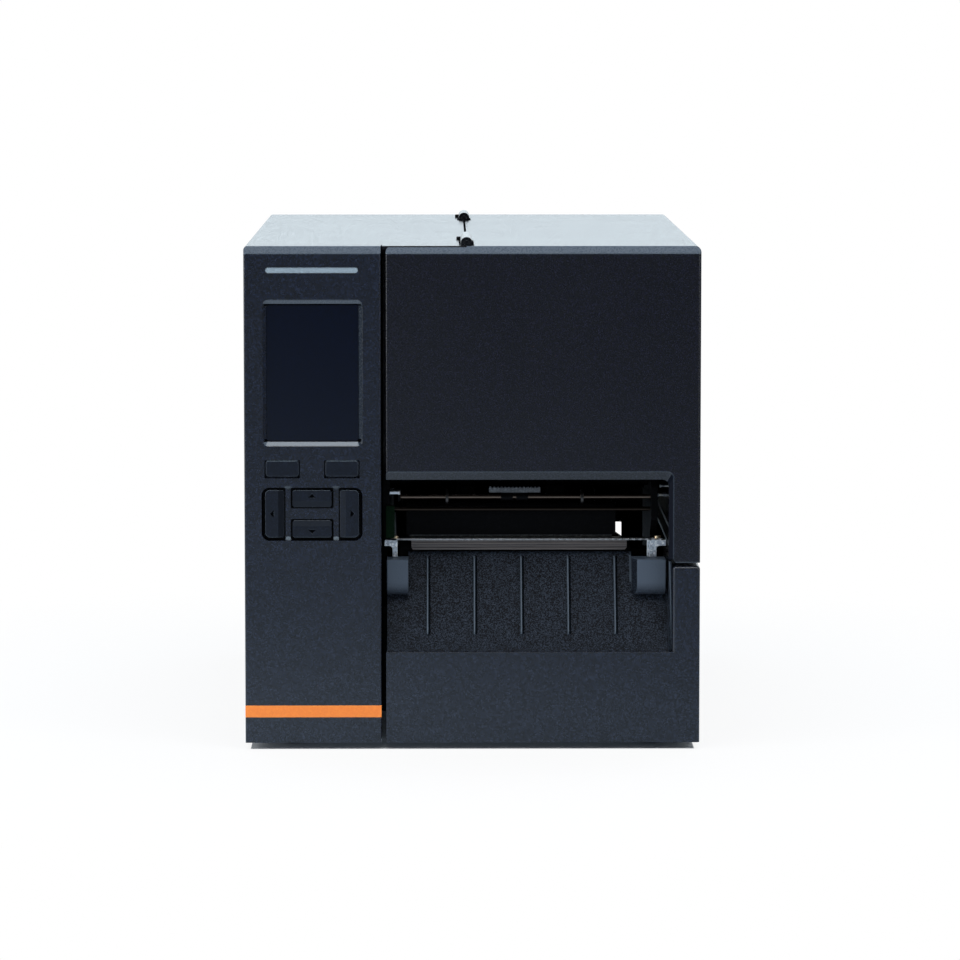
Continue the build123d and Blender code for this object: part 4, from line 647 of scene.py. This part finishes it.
GLASS_MIDDLE = ((GLASS_LEFT + GLASS_RIGHT) / 2, (GLASS_BOTTOM + GLASS_TOP) / 2)
GLASS_HALF_WIDTH = (GLASS_RIGHT - GLASS_LEFT) / 2
GLASS_HALF_HEIGHT = (GLASS_TOP - GLASS_BOTTOM) / 2
BEZEL_REACH = (GLASS_HALF_WIDTH + 3.95 * MM, GLASS_HALF_HEIGHT + 3.0 * MM)
BEZEL_LOWER_LINE = (GLASS_BOTTOM - 0.75 * MM, GLASS_BOTTOM + 1.05 * MM)
BEZEL_UPPER_LINE = (GLASS_TOP - 0.45 * MM, GLASS_TOP + 0.85 * MM)
BEZEL_LINE_REACH = GLASS_HALF_WIDTH + 1.45 * MM


def bezel_slope(tree, place, axis, leaning):
    """The slopes of the display's recess that lean one way along an axis."""
    along = axes(tree, place)
    mask = between(tree, facing(tree)[axis], *leaning)
    for name, middle, reach in zip("XZ", GLASS_MIDDLE, BEZEL_REACH):
        mask = product(tree, mask, under(tree, apart(tree, along[name], middle), reach))
    return mask


def bezel_shade_line(tree, place, heights):
    """A line of painted shade where a slope of the display's recess meets the glass."""
    along = axes(tree, place)
    beside = under(tree, apart(tree, along["X"], GLASS_MIDDLE[0]), BEZEL_LINE_REACH)
    return product(tree, beside, between(tree, along["Z"], *heights))


SOFT_KEYS = ("left_soft_key", "right_soft_key")
SOFT_KEY_GAP = 0.55 * MM
SOFT_KEY_SHADE = 0.35 * MM


def round_soft_keys(tree, place):
    """A thin band just round the two soft keys, wider below them, where the face round them lies in shade."""
    along = axes(tree, place)
    bands = []
    for key in SOFT_KEYS:
        left, right, bottom, top = key_face(key)
        beside = between(tree, along["X"], left - SOFT_KEY_GAP, right + SOFT_KEY_GAP)
        low = bottom - SOFT_KEY_GAP - SOFT_KEY_SHADE
        high = top + SOFT_KEY_GAP - SOFT_KEY_SHADE
        bands.append(product(tree, beside, between(tree, along["Z"], low, high)))
    return maths(tree, "MAXIMUM", *bands)


RIMS_TOP = KEYS_TOP + 3.8 * MM
SIDE_KEY_RIM = (0.1 * MM, 1.0 * MM)
MIDDLE_KEY_RIM = (0.35 * MM, 1.5 * MM)
KEY_RIMS = {
    "left_key": SIDE_KEY_RIM,
    "right_key": SIDE_KEY_RIM,
    "up_key": MIDDLE_KEY_RIM,
    "down_key": MIDDLE_KEY_RIM,
}


def key_slope(tree, _place, axis, leaning):
    """The faces of the keys that lean one way along an axis, wherever they are."""
    return between(tree, facing(tree)[axis], *leaning)


def key_rim_shade(tree, place):
    """A rim of painted shade round each navigation key that rounds its corners.

    Each rim has an inset at the key's sides and the radius of the corners."""
    along = axes(tree, place)
    nearest = 1.0
    for key, (inset, corner) in KEY_RIMS.items():
        left, right, bottom, top = key_face(key)
        distance = outside(tree, along, (left + inset, right - inset, bottom, top), corner)
        nearest = maths(tree, "MINIMUM", nearest, distance)
    return product(tree, over(tree, nearest, 0.0), under(tree, along["Z"], RIMS_TOP))


ARROW_SHIFT = 1.8 * MM
ARROW_LENGTH = 2.6 * MM
ARROW_HALF_WIDTH = 2.3 * MM
ARROWS = {
    "left_key": ("X", "Z", -1),
    "right_key": ("X", "Z", 1),
    "up_key": ("Z", "X", 1),
    "down_key": ("Z", "X", -1),
}


def sunk_arrows(tree, place):
    """A triangle of painted shade on each navigation key, over the arrow sunk into it and its rim.

    Each arrow has the axis that it points along, the axis across it, and its way along the first."""
    along = axes(tree, place)
    mask = 0.0
    for key, (axis, across, way) in ARROWS.items():
        left, right, bottom, top = key_face(key)
        middle = {"X": (left + right) / 2, "Z": (bottom + top) / 2}
        middle[axis] += way * ARROW_SHIFT
        tip = middle[axis] + way * ARROW_LENGTH / 2
        behind = product(tree, maths(tree, "SUBTRACT", tip, along[axis]), way)
        half_width = product(tree, behind, ARROW_HALF_WIDTH / ARROW_LENGTH)
        within = maths(tree, "LESS_THAN", apart(tree, along[across], middle[across]), half_width)
        arrow = product(tree, within, between(tree, behind, 0.0, ARROW_LENGTH))
        mask = maths(tree, "MAXIMUM", mask, arrow)
    return mask


WELL_GAP = 1.5 * MM
WELL_LEFT = KEYS_LEFT - WELL_GAP
WELL_RIGHT = KEYS_RIGHT + WELL_GAP
WELL_BOTTOM = KEYS_BOTTOM - WELL_GAP
WELL_TOP = KEYS_TOP + WELL_GAP
WELL = (WELL_LEFT, WELL_RIGHT, WELL_BOTTOM, WELL_TOP)
WELL_RIM = (WELL_LEFT - 0.6 * MM, WELL_RIGHT + 0.6 * MM, WELL_BOTTOM - 0.5 * MM, WELL_TOP + 0.1 * MM)
WELL_CORNER = 4.8 * MM
WELL_LIP = 0.3 * MM
WEB_MIDDLES = ((LEFT_KEY_RIGHT + MIDDLE_KEYS_LEFT) / 2, (MIDDLE_KEYS_RIGHT + RIGHT_KEY_LEFT) / 2)
WEB_HALF_WIDTH = 1.6 * MM
SPOT_FADE = (0.5, 1.1)
WEB_FOOT_SPOT = {"height": WELL_BOTTOM + 0.9 * MM, "half_width": 2.4 * MM, "half_height": 1.1 * MM}
WEB_HEAD_SPOT = {"height": WELL_TOP + 0.1 * MM, "half_width": 2.6 * MM, "half_height": 1.2 * MM}


def from_webs(tree, along):
    """The distance from the middle of the nearer of the two upright webs between the keys."""
    return maths(tree, "MINIMUM", *[apart(tree, along["X"], middle) for middle in WEB_MIDDLES])


def well_rim_shade(tree, place):
    """Painted shade on the rim of the keypad's well, which stops at the webs between the keys."""
    along = axes(tree, place)
    return product(
        tree,
        under(tree, outside(tree, along, WELL_RIM, WELL_CORNER), 0.0),
        over(tree, outside(tree, along, WELL, WELL_CORNER), -WELL_LIP),
        over(tree, from_webs(tree, along), WEB_HALF_WIDTH),
    )


def web_ends(tree, place, height, half_width, half_height):
    """A spot at the end of each upright web, where the well's edge catches the light."""
    along = axes(tree, place)
    across = maths(tree, "DIVIDE", from_webs(tree, along), half_width)
    up = maths(tree, "DIVIDE", maths(tree, "SUBTRACT", along["Z"], height), half_height)
    spread = maths(tree, "ADD", maths(tree, "POWER", across, 2.0), product(tree, up, up))
    return falling(tree, spread, *SPOT_FADE)


# Where patches lie: the media bay

BAY_HEIGHTS = (168.0 * MM, 182.0 * MM)
BAY_DEPTHS = (-100.0 * MM, -40.0 * MM)
BEHIND_EXIT = (120.0 * MM, 134.0 * MM)


def deep_in_bay(tree, place):
    """The upper and rear parts in the media bay, above and behind those that the label exit shows."""
    along = axes(tree, place)
    far = product(tree, rising(tree, along["Z"], *BEHIND_EXIT), rising(tree, along["Y"], *BAY_DEPTHS))
    return maths(tree, "MAXIMUM", rising(tree, along["Z"], *BAY_HEIGHTS), far)


# Finishes of the record's slots

# Near black for the parts in the media bay: their own black, made darker as painted shade where the label
# exit shows them. Parts high up and far back keep a lighter dark grey.
BAY_SHADE_BLACK = (0.001, 0.001, 0.0013)
# Painted shade on the keys' sides.
KEY_SHADED_SIDE = (0.004, 0.0055, 0.01)
# Painted light along the top of the front: a light tone on the chamfer and a light line on the upright faces
# just below it.
TOP_EDGE_LIGHT = (
    patch(top_chamfer, (0.01, 0.024, 0.044), leaning=WITH_AXIS),
    patch(top_chamfer, (0.08, 0.1, 0.125), leaning=ACROSS_AXIS),
)

MOULDED = {
    "housing_paint": dict(
        colour=(0.0042, 0.0044, 0.0085),
        roughness=0.3,
        grain=0.6 * MM,
        grain_depth=0.005 * MM,
        fleck=0.6,
        patches=(
            *TOP_EDGE_LIGHT,
            # Painted shade on the right slope of the label exit, darker and duller.
            patch(exit_cheek, (0.003, 0.004, 0.008), smoother=-0.1, dullness=0.9),
            patch(exit_edge_highlight, (0.026, 0.034, 0.046)),
            patch(door_foot_highlight, (0.03, 0.038, 0.05)),
        ),
        # Painted shade: the walls inside the covers darker and duller.
        covers=(patch(shaded_inside_walls, (0.0008, 0.0008, 0.001), smoother=-0.15, dullness=0.9),),
    ),
    "front_moulding": dict(
        colour=(0.006, 0.008, 0.015),
        roughness=0.3,
        grain=0.6 * MM,
        grain_depth=0.006 * MM,
        fleck=0.75,
        patches=(
            *TOP_EDGE_LIGHT,
            # Painted light on the slopes of the display's recess: those that face up, down and to the left.
            patch(bezel_slope, (0.075, 0.096, 0.122), smoother=0.14, axis="Z", leaning=WITH_AXIS),
            patch(bezel_slope, (0.05, 0.062, 0.08), smoother=0.08, axis="Z", leaning=AGAINST_AXIS),
            patch(bezel_slope, (0.016, 0.022, 0.032), smoother=0.1, axis="X", leaning=AGAINST_AXIS),
            patch(round_soft_keys, PAINTED_SHADE_BLACK, dullness=0.9),
        ),
        covers=(
            patch(bezel_shade_line, PAINTED_SHADE_BLACK, dullness=0.95, heights=BEZEL_LOWER_LINE),
            patch(bezel_shade_line, PAINTED_SHADE_BLACK, dullness=0.95, heights=BEZEL_UPPER_LINE),
            patch(well_rim_shade, PAINTED_SHADE_BLACK, dullness=0.95),
            patch(web_ends, (0.13, 0.155, 0.18), **WEB_FOOT_SPOT),
            patch(web_ends, (0.036, 0.046, 0.058), **WEB_HEAD_SPOT),
        ),
    ),
    "chute_plastic": dict(
        colour=(0.0008, 0.0012, 0.003),
        roughness=0.45,
        grain=0.45 * MM,
        grain_depth=0.05 * MM,
        fleck=0.8,
        specular=0.12,
        edge=0.5 * MM,
        # Painted highlight along the chute's edges.
        wear_and_edge_highlight=(0.02, 0.03, 0.042),
        sparkle=(0.031, 0.041, 0.059),
        sparkle_share=0.6,
        patches=(
            # Painted light on the fronts of the blocks, fading towards their feet.
            patch(smooth_blocks, (0.066, 0.084, 0.112), smoother=0.05),
            # Painted shadow beside the right side of each rib, and a painted highlight on its left side.
            patch(
                rib_band,
                BLACK,
                dullness=1.0,
                start=RIB_HALF_WIDTH - RIB_SHADOW / 2,
                end=RIB_HALF_WIDTH + RIB_SHADOW,
            ),
            patch(rib_band, (0.085, 0.108, 0.135), start=-RIB_HALF_WIDTH, end=RIB_LIGHT_END),
            patch(block_side_highlight, (0.06, 0.078, 0.1)),
            patch(chute_cheek, (0.014, 0.019, 0.028), start=CHEEK_LINE, end=CHEEK_WIDTH),
            # Painted highlight along the front edge of the cheek.
            patch(chute_cheek, (0.07, 0.09, 0.115), start=0.0, end=CHEEK_LINE),
        ),
    ),
    "accent_orange": dict(
        colour=(0.98, 0.25, 0.036), roughness=0.42, grain_depth=0.005 * MM, mottle=0.03, fleck=0.05
    ),
    "light_lens": dict(
        colour=linear(136, 151, 162),
        roughness=0.3,
        grain_depth=0.002 * MM,
        mottle=0.03,
        coat=0.3,
        fleck=0.05,
    ),
    "key_rubber": dict(
        colour=(0.0046, 0.0066, 0.0125),
        roughness=0.34,
        specular=0.3,
        grain=0.6 * MM,
        grain_depth=0.01 * MM,
        edge=0.7 * MM,
        # Painted highlight along the keys' edges.
        wear_and_edge_highlight=(0.085, 0.11, 0.135),
        patches=(
            # Painted shade on the keys' faces that lean down and to the right, painted light on those that
            # lean up, and a painted highlight on their rounded tops.
            patch(key_slope, KEY_SHADED_SIDE, dullness=0.4, axis="Z", leaning=SLOPE_AGAINST_AXIS),
            patch(key_slope, KEY_SHADED_SIDE, dullness=0.4, axis="X", leaning=SLOPE_WITH_AXIS),
            patch(key_slope, (0.011, 0.014, 0.02), axis="Z", leaning=SLOPE_WITH_AXIS),
            patch(key_slope, (0.09, 0.12, 0.15), axis="Z", leaning=ROUNDED_TOP),
        ),
        covers=(
            # Painted shade in the sunk arrows.
            patch(sunk_arrows, (0.0008, 0.001, 0.002), dullness=0.9),
            # Painted shade round the keys' corners.
            patch(key_rim_shade, BLACK, dullness=1.0),
        ),
    ),
    "rear_paint": dict(colour=(0.009, 0.01, 0.013), roughness=0.4, grain=0.9 * MM),
    "cast_black": dict(
        colour=BAY_SHADE_BLACK,
        roughness=0.55,
        grain=1.2 * MM,
        specular=0.05,
        patches=(patch(deep_in_bay, (0.03, 0.031, 0.035), smoother=0.08),),
    ),
    "die_cast_mounts": dict(
        colour=linear(205, 213, 224),
        roughness=0.34,
        grain=1.2 * MM,
        grain_depth=0.12 * MM,
        metallic=0.5,
        fleck=0.4,
    ),
    "black_plastic": dict(
        colour=BAY_SHADE_BLACK,
        roughness=0.5,
        grain=0.9 * MM,
        grain_depth=0.01 * MM,
        specular=0.05,
        patches=(patch(deep_in_bay, (0.016, 0.016, 0.018), smoother=0.08),),
    ),
    "hinge_black": dict(colour=(0.002, 0.002, 0.003), roughness=0.25, grain=0.5 * MM, grain_depth=0.01 * MM),
    "roller_rubber": dict(colour=(0.003, 0.003, 0.0035), roughness=0.75, grain=0.4 * MM, specular=0.1),
    "gear_plastic": dict(
        colour=linear(215, 212, 200), roughness=0.45, grain=0.6 * MM, grain_depth=0.005 * MM
    ),
    "head_ceramic": dict(colour=linear(60, 60, 58), roughness=0.2, grain_depth=0.002 * MM, coat=0.5),
    "comb_grey": dict(colour=linear(62, 66, 71), roughness=0.5, grain=0.6 * MM),
    "board_green": dict(colour=(0.0012, 0.0075, 0.0025), roughness=0.5, grain=0.5 * MM, specular=0.05),
}

BRUSHED = {
    "bright_steel": dict(colour=linear(170, 166, 164), roughness=0.3),
    "black_steel": dict(colour=linear(70, 66, 64), roughness=0.35),
    "screw_metal": dict(colour=linear(225, 200, 165), roughness=0.3, along=(0, 0, 0)),
    "damper_metal": dict(colour=linear(160, 160, 165), roughness=0.4),
    "motor_steel": dict(colour=linear(130, 130, 134), roughness=0.4),
    # The lower rod darker, as painted shade.
    "warm_steel": dict(colour=linear(98, 84, 74), roughness=0.3, dim_below=147 * MM),
    # The tab's leg below its flange near black, as painted shade.
    "tab_steel": dict(colour=linear(236, 238, 242), roughness=0.3, dim_below=152.7 * MM, dim_share=0.015),
}

FINISHES = {
    **{name: moulded(name, **look) for name, look in MOULDED.items()},
    **{name: brushed(name, **look) for name, look in BRUSHED.items()},
    "bar_black": grooved("bar_black", linear(76, 70, 68), roughness=0.36, pitch=1.65 * MM),
    "display_black": polished_glass("display_black", (0.0005, 0.0015, 0.0072), roughness=0.04),
    "window_smoke": smoked_glass("window_smoke", linear(60, 62, 66)),
}

NODE_FINISHES = {
    "ribbon_rods": "warm_steel",
    "rod_tab": "tab_steel",
    # The shafts take the bay's near-black finish, as painted shade where the label exit shows them.
    "platen_shaft": "black_plastic",
    "head_pivot_shaft": "black_plastic",
    "cam_shaft": "black_plastic",
}


def finish_nodes():
    """Gives each node of the frame the finish of its material slot, or its own where it has one."""
    for subpart in frame["record"]["subparts"]:
        piece = nodes[subpart["node"]]
        finish = NODE_FINISHES.get(subpart["node"], subpart["material_slot"])
        for material_slot in piece.material_slots:
            material_slot.material = FINISHES[finish]


# Pieces added in the scene


def add_piece(name, corners, faces, slot, body):
    """A piece from its corners and faces, with the finish of a slot, that rides on a body."""
    mesh = bpy.data.meshes.new(name)
    mesh.from_pydata(corners, [], faces)
    mesh.validate()
    piece = bpy.data.objects.new(name, mesh)
    bpy.context.collection.objects.link(piece)
    mesh.materials.append(FINISHES[slot])
    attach(piece, body)
    return piece


WELL_FLOOR = FRONT + 1.3 * MM
GAP_THICKNESS = 0.06 * MM
OUTER_GAP = 1.25 * MM
INNER_GAP = 0.75 * MM
KEY_CORNER = 3.0 * MM
SMALL_CORNER = 0.1 * MM
CORNER_STEPS = 6
OUTWARD = (-1, 1, -1, 1)


def rounded_outline(outline, radii):
    """Points round a rectangle. Its radii go from the lower left by the lower right to the upper left."""
    left, right, bottom, top = outline
    centres = ((left, bottom, 1, 1), (right, bottom, -1, 1), (right, top, -1, -1), (left, top, 1, -1))
    points = []
    for index, ((x, z, inward_x, inward_z), radius) in enumerate(zip(centres, radii)):
        for step in range(CORNER_STEPS + 1):
            angle = radians(180 + 90 * index + 90 * step / CORNER_STEPS)
            point_x = x + inward_x * radius + radius * cos(angle)
            point_z = z + inward_z * radius + radius * sin(angle)
            points.append((point_x, point_z))
    return points


def flat_ring(outer, inner, y, thickness):
    """Corners and faces of a thin ring in the plane of the front, between outlines of as many points each."""
    count = len(outer)
    outlines = ((outer, y - thickness), (inner, y - thickness), (inner, y), (outer, y))
    corners = [(x, depth, z) for points, depth in outlines for x, z in points]
    faces = []
    for here in range(count):
        after = (here + 1) % count
        for band in range(len(outlines)):
            start = band * count
            end = (band + 1) % len(outlines) * count
            faces.append((start + here, start + after, end + after, end + here))
    return corners, faces


def build_key_gaps():
    """A near-black ring in the gap round each navigation key: the keypad's rubber, and painted shade in the
    gap.
    """
    for key in KEY_RIMS:
        face = key_face(key)
        at_edge = [abs(side - border) < 2 * OUTER_GAP for side, border in zip(face, WELL)]
        gaps = [OUTER_GAP if near else INNER_GAP for near in at_edge]
        around = [side + way * gap for side, way, gap in zip(face, OUTWARD, gaps)]
        near_left, near_right, near_bottom, near_top = at_edge
        at_corner = (
            near_left and near_bottom,
            near_right and near_bottom,
            near_right and near_top,
            near_left and near_top,
        )
        outer = rounded_outline(around, [WELL_CORNER if corner else INNER_GAP for corner in at_corner])
        inner = rounded_outline(face, [KEY_CORNER if corner else SMALL_CORNER for corner in at_corner])
        corners, faces = flat_ring(outer, inner, WELL_FLOOR, GAP_THICKNESS)
        add_piece(f"{key}_gap", corners, faces, "black_plastic", "housing")


_, HEAD_RIGHT, HEAD_BOTTOM, _ = outline_of("thermal_head")
HEAD_CAP_CORNERS = ((0.1, 6.7), (2.4, 6.7), (2.4, 2.6), (6.5, -0.22), (0.1, -0.22))
HEAD_CAP_Y = (FRONT + 42.0 * MM, FRONT + 48.0 * MM)


def build_head_cap():
    """The end cap of the print head, with the slanted foot that cuts into the view through the media bay.

    Its corners are in millimetres, across and up from the lower right corner of the head."""
    count = len(HEAD_CAP_CORNERS)
    outline = [(HEAD_RIGHT + x * MM, HEAD_BOTTOM + z * MM) for x, z in HEAD_CAP_CORNERS]
    corners = [(x, y, z) for y in HEAD_CAP_Y for x, z in outline]
    faces = [tuple(range(count)), tuple(reversed(range(count, 2 * count)))]
    for here in range(count):
        after = (here + 1) % count
        faces.append((here, count + here, count + after, after))
    add_piece("print_head_end_cap", corners, faces, "black_plastic", "print_head")


BRACKET_RIGHT = outline_of("outer_bracket")[1]
PIN_STARTS = (BRACKET_RIGHT, BRACKET_RIGHT + 1.4 * MM)
PIN_END = BRACKET_RIGHT + 7.5 * MM
PIN_Y = FRONT + 22.0 * MM
PIN_HEIGHTS = (151.8 * MM, 157.4 * MM)
PIN_RADIUS = 0.65 * MM
PIN_COLLAR = 0.95 * MM
PIN_FOOT = ((0.0, PIN_COLLAR), (0.8 * PIN_COLLAR, PIN_COLLAR), (PIN_COLLAR, PIN_RADIUS))
PIN_TIP = ((0.5 * PIN_RADIUS, PIN_RADIUS), (0.15 * PIN_RADIUS, 0.8 * PIN_RADIUS), (0.0, 0.4 * PIN_RADIUS))
PIN_SIDES = 20


def build_rod_pins():
    """The two bright pins beyond the outer bracket, each with a collar at the bracket and a rounded end.

    Foot and tip are distances from their end of the pin, each with the radius there."""
    for number, (start, height) in enumerate(zip(PIN_STARTS, PIN_HEIGHTS)):
        profile = [(start + distance, radius) for distance, radius in PIN_FOOT]
        profile += [(PIN_END - distance, radius) for distance, radius in PIN_TIP]
        corners = []
        for x, radius in profile:
            for side in range(PIN_SIDES):
                angle = radians(360 * side / PIN_SIDES)
                corners.append((x, PIN_Y + radius * cos(angle), height + radius * sin(angle)))
        last = (len(profile) - 1) * PIN_SIDES
        faces = [tuple(reversed(range(PIN_SIDES))), tuple(range(last, last + PIN_SIDES))]
        for near in range(0, last, PIN_SIDES):
            far = near + PIN_SIDES
            for side in range(PIN_SIDES):
                after = (side + 1) % PIN_SIDES
                faces.append((near + side, near + after, far + after, far + side))
        piece = add_piece(f"rod_pin_{number}", corners, faces, "die_cast_mounts", "housing")
        for face in piece.data.polygons:
            face.use_smooth = len(face.vertices) == 4


# Surroundings

FLOOR_HALF = 30.0
FLOOR_WHITE = shade(WHITE, 0.8)
NEAR_WHITE = 0.88
SHADOW_ENDS = (0.3, 0.6)
MIRROR_TINT = (0.68, 0.84, 1.0)
MIRROR_NEAR = 1.95
MIRROR_FADE = 3.1
MIRROR_SIDES = (1.3, 0.62)
MIRROR_SIDE_REACH = 0.25
BASE_SHADE = 0.5
BASE_SHADE_REACH = 0.18
BASE_INSET = 3 * MM
GROUND_GAP = 0.2 * MM


def shows_background(tree):
    """1 for the rays that show a plain background: from the camera, and through glass."""
    path = tree.nodes.new("ShaderNodeLightPath").outputs
    return maths(tree, "MAXIMUM", path["Is Camera Ray"], path["Is Transmission Ray"])


def mirrored_floor(tree, along, away):
    """How bright the floor is in the object's gloss. It fades with distance and to the right."""
    beyond = maths(tree, "MAXIMUM", maths(tree, "SUBTRACT", away, -FRONT), 0.0)
    fading = maths(tree, "ADD", 1.0, product(tree, beyond, MIRROR_FADE))
    # Painted shadow of the object in the floor's sheen, darker near its base.
    shaded = span(tree, beyond, BASE_SHADE, 1.0, 0.0, BASE_SHADE_REACH)
    sides = span(tree, along["X"], *MIRROR_SIDES, -MIRROR_SIDE_REACH, MIRROR_SIDE_REACH)
    return product(tree, maths(tree, "DIVIDE", MIRROR_NEAR, fading), shaded, sides)


def around_object(tree, along):
    """1 on the floor all round the object, and 0 under it."""
    beside = over(tree, maths(tree, "ABSOLUTE", along["X"]), SIDE - BASE_INSET)
    before = over(tree, maths(tree, "ABSOLUTE", along["Y"]), -FRONT - BASE_INSET)
    return maths(tree, "MAXIMUM", beside, before)


def mix_shaders(tree, factor, first, second):
    """A mix of two shaders."""
    made = add_node(tree, "ShaderNodeMixShader", Fac=factor)
    tree.links.new(first.outputs[0], made.inputs[1])
    tree.links.new(second.outputs[0], made.inputs[2])
    return made


def floor_white():
    """A plain white that keeps the object's soft shadow, with its own brightness in the object's gloss."""
    material, tree, shader, place = new_material("floor_white")
    distance = add_node(tree, "ShaderNodeVectorMath", {"operation": "LENGTH"})
    tree.links.new(place, distance.inputs[0])
    away = distance.outputs["Value"]
    along = axes(tree, place)
    white = span(tree, away, NEAR_WHITE, 1.0, *SHADOW_ENDS)
    plain = product(tree, shows_background(tree), white, around_object(tree, along))
    in_gloss = tree.nodes.new("ShaderNodeLightPath").outputs["Is Glossy Ray"]
    mirrored = mirrored_floor(tree, along, away)
    glow = add_node(tree, "ShaderNodeEmission", Color=(*WHITE, 1), Strength=1.0)
    sheen = add_node(tree, "ShaderNodeEmission", Color=(*MIRROR_TINT, 1), Strength=mirrored)
    diffuse = add_node(tree, "ShaderNodeBsdfDiffuse", Color=(*FLOOR_WHITE, 1))
    seen = mix_shaders(tree, plain, diffuse, glow)
    mixed = mix_shaders(tree, in_gloss, seen, sheen)
    tree.nodes.remove(shader)
    tree.links.new(mixed.outputs[0], tree.nodes["Material Output"].inputs["Surface"])
    return material


def build_floor():
    """A large floor just under the feet."""
    mesh = bpy.data.meshes.new("floor")
    corners = [(x * FLOOR_HALF, y * FLOOR_HALF, -GROUND_GAP) for x, y in ((-1, -1), (1, -1), (1, 1), (-1, 1))]
    mesh.from_pydata(corners, [], [(0, 1, 2, 3)])
    floor = bpy.data.objects.new("floor", mesh)
    bpy.context.collection.objects.link(floor)
    mesh.materials.append(floor_white())


BACK_LIGHT = (1.0, 1.08, 1.13)
FRONT_LIGHT = (0.05, 0.06, 0.075)
FRONT_TO_BACK = (0.1, 0.6)


def build_world():
    """White for the camera everywhere. Its light is white from behind the object and dim from the front."""
    world = bpy.data.worlds.new("studio")
    bpy.context.scene.world = world
    world.use_nodes = True
    tree = world.node_tree
    direction = tree.nodes.new("ShaderNodeTexCoord").outputs["Generated"]
    behind = rising(tree, axes(tree, direction)["Y"], *FRONT_TO_BACK)
    lit = blend_colours(tree, behind, FRONT_LIGHT, BACK_LIGHT)
    shown = blend_colours(tree, shows_background(tree), lit, WHITE)
    set_inputs(tree, tree.nodes["Background"], Color=shown, Strength=1.0)


COOL = (0.93, 0.97, 1.0)
LAMP_TARGET = (0, -0.1, 0.15)
LAMPS = {
    "front_box": dict(place=(0, -0.8, 1.75), size=(1.6, 1.0), power=24, colour=COOL),
    "top_box": dict(place=(0, 0.3, 1.8), size=(1.4, 1.0), power=8.4, colour=(0.7, 0.96, 1.3)),
    "rear_box": dict(place=(0, 2.2, 0.95), size=(3.0, 1.0), power=9.2, colour=(0.8, 0.96, 1.06)),
    "left_box": dict(place=(-2.0, -1.1, 0.65), size=(1.1, 1.2), power=26, colour=COOL),
    "right_box": dict(place=(1.8, -1.5, 0.9), size=(1.0, 1.2), power=16, colour=COOL),
}


def add_lamp(name, place, size, power, colour):
    """A soft box that points at the target and isn't in the picture itself."""
    data = bpy.data.lights.new(name, "AREA")
    data.shape = "RECTANGLE"
    data.size, data.size_y = size
    data.energy = power
    data.color = colour
    lamp = bpy.data.objects.new(name, data)
    bpy.context.collection.objects.link(lamp)
    lamp.location = place
    lamp.visible_camera = False
    lamp.rotation_euler = (Vector(LAMP_TARGET) - Vector(place)).to_track_quat("-Z", "Y").to_euler()


def build_lamps():
    """Soft boxes: high in front, overhead, low behind for the top's sheen, and wide to both sides."""
    for name, lamp in LAMPS.items():
        add_lamp(name, **lamp)


CAMERA_PLACE = (-0.01811, -3.00708, 0.44457)
CAMERA_DOWN = 5.758
CAMERA_RIGHT = 0.464
CAMERA_LENS = 175.1
CAMERA_SENSOR = 36.0
CAMERA_FAR = 200.0


def build_camera():
    """The camera where the photograph was taken from, with its lens and sensor in millimetres."""
    data = bpy.data.cameras.new("camera")
    data.lens = CAMERA_LENS
    data.sensor_width = CAMERA_SENSOR
    data.clip_end = CAMERA_FAR
    camera = bpy.data.objects.new("camera", data)
    bpy.context.collection.objects.link(camera)
    camera.location = CAMERA_PLACE
    camera.rotation_euler = (radians(90 - CAMERA_DOWN), 0, radians(-CAMERA_RIGHT))
    bpy.context.scene.camera = camera


bpy.context.scene.view_settings.view_transform = "Standard"
finish_nodes()
build_key_gaps()
build_head_cap()
build_rod_pins()
build_floor()
build_world()
build_lamps()
build_camera()
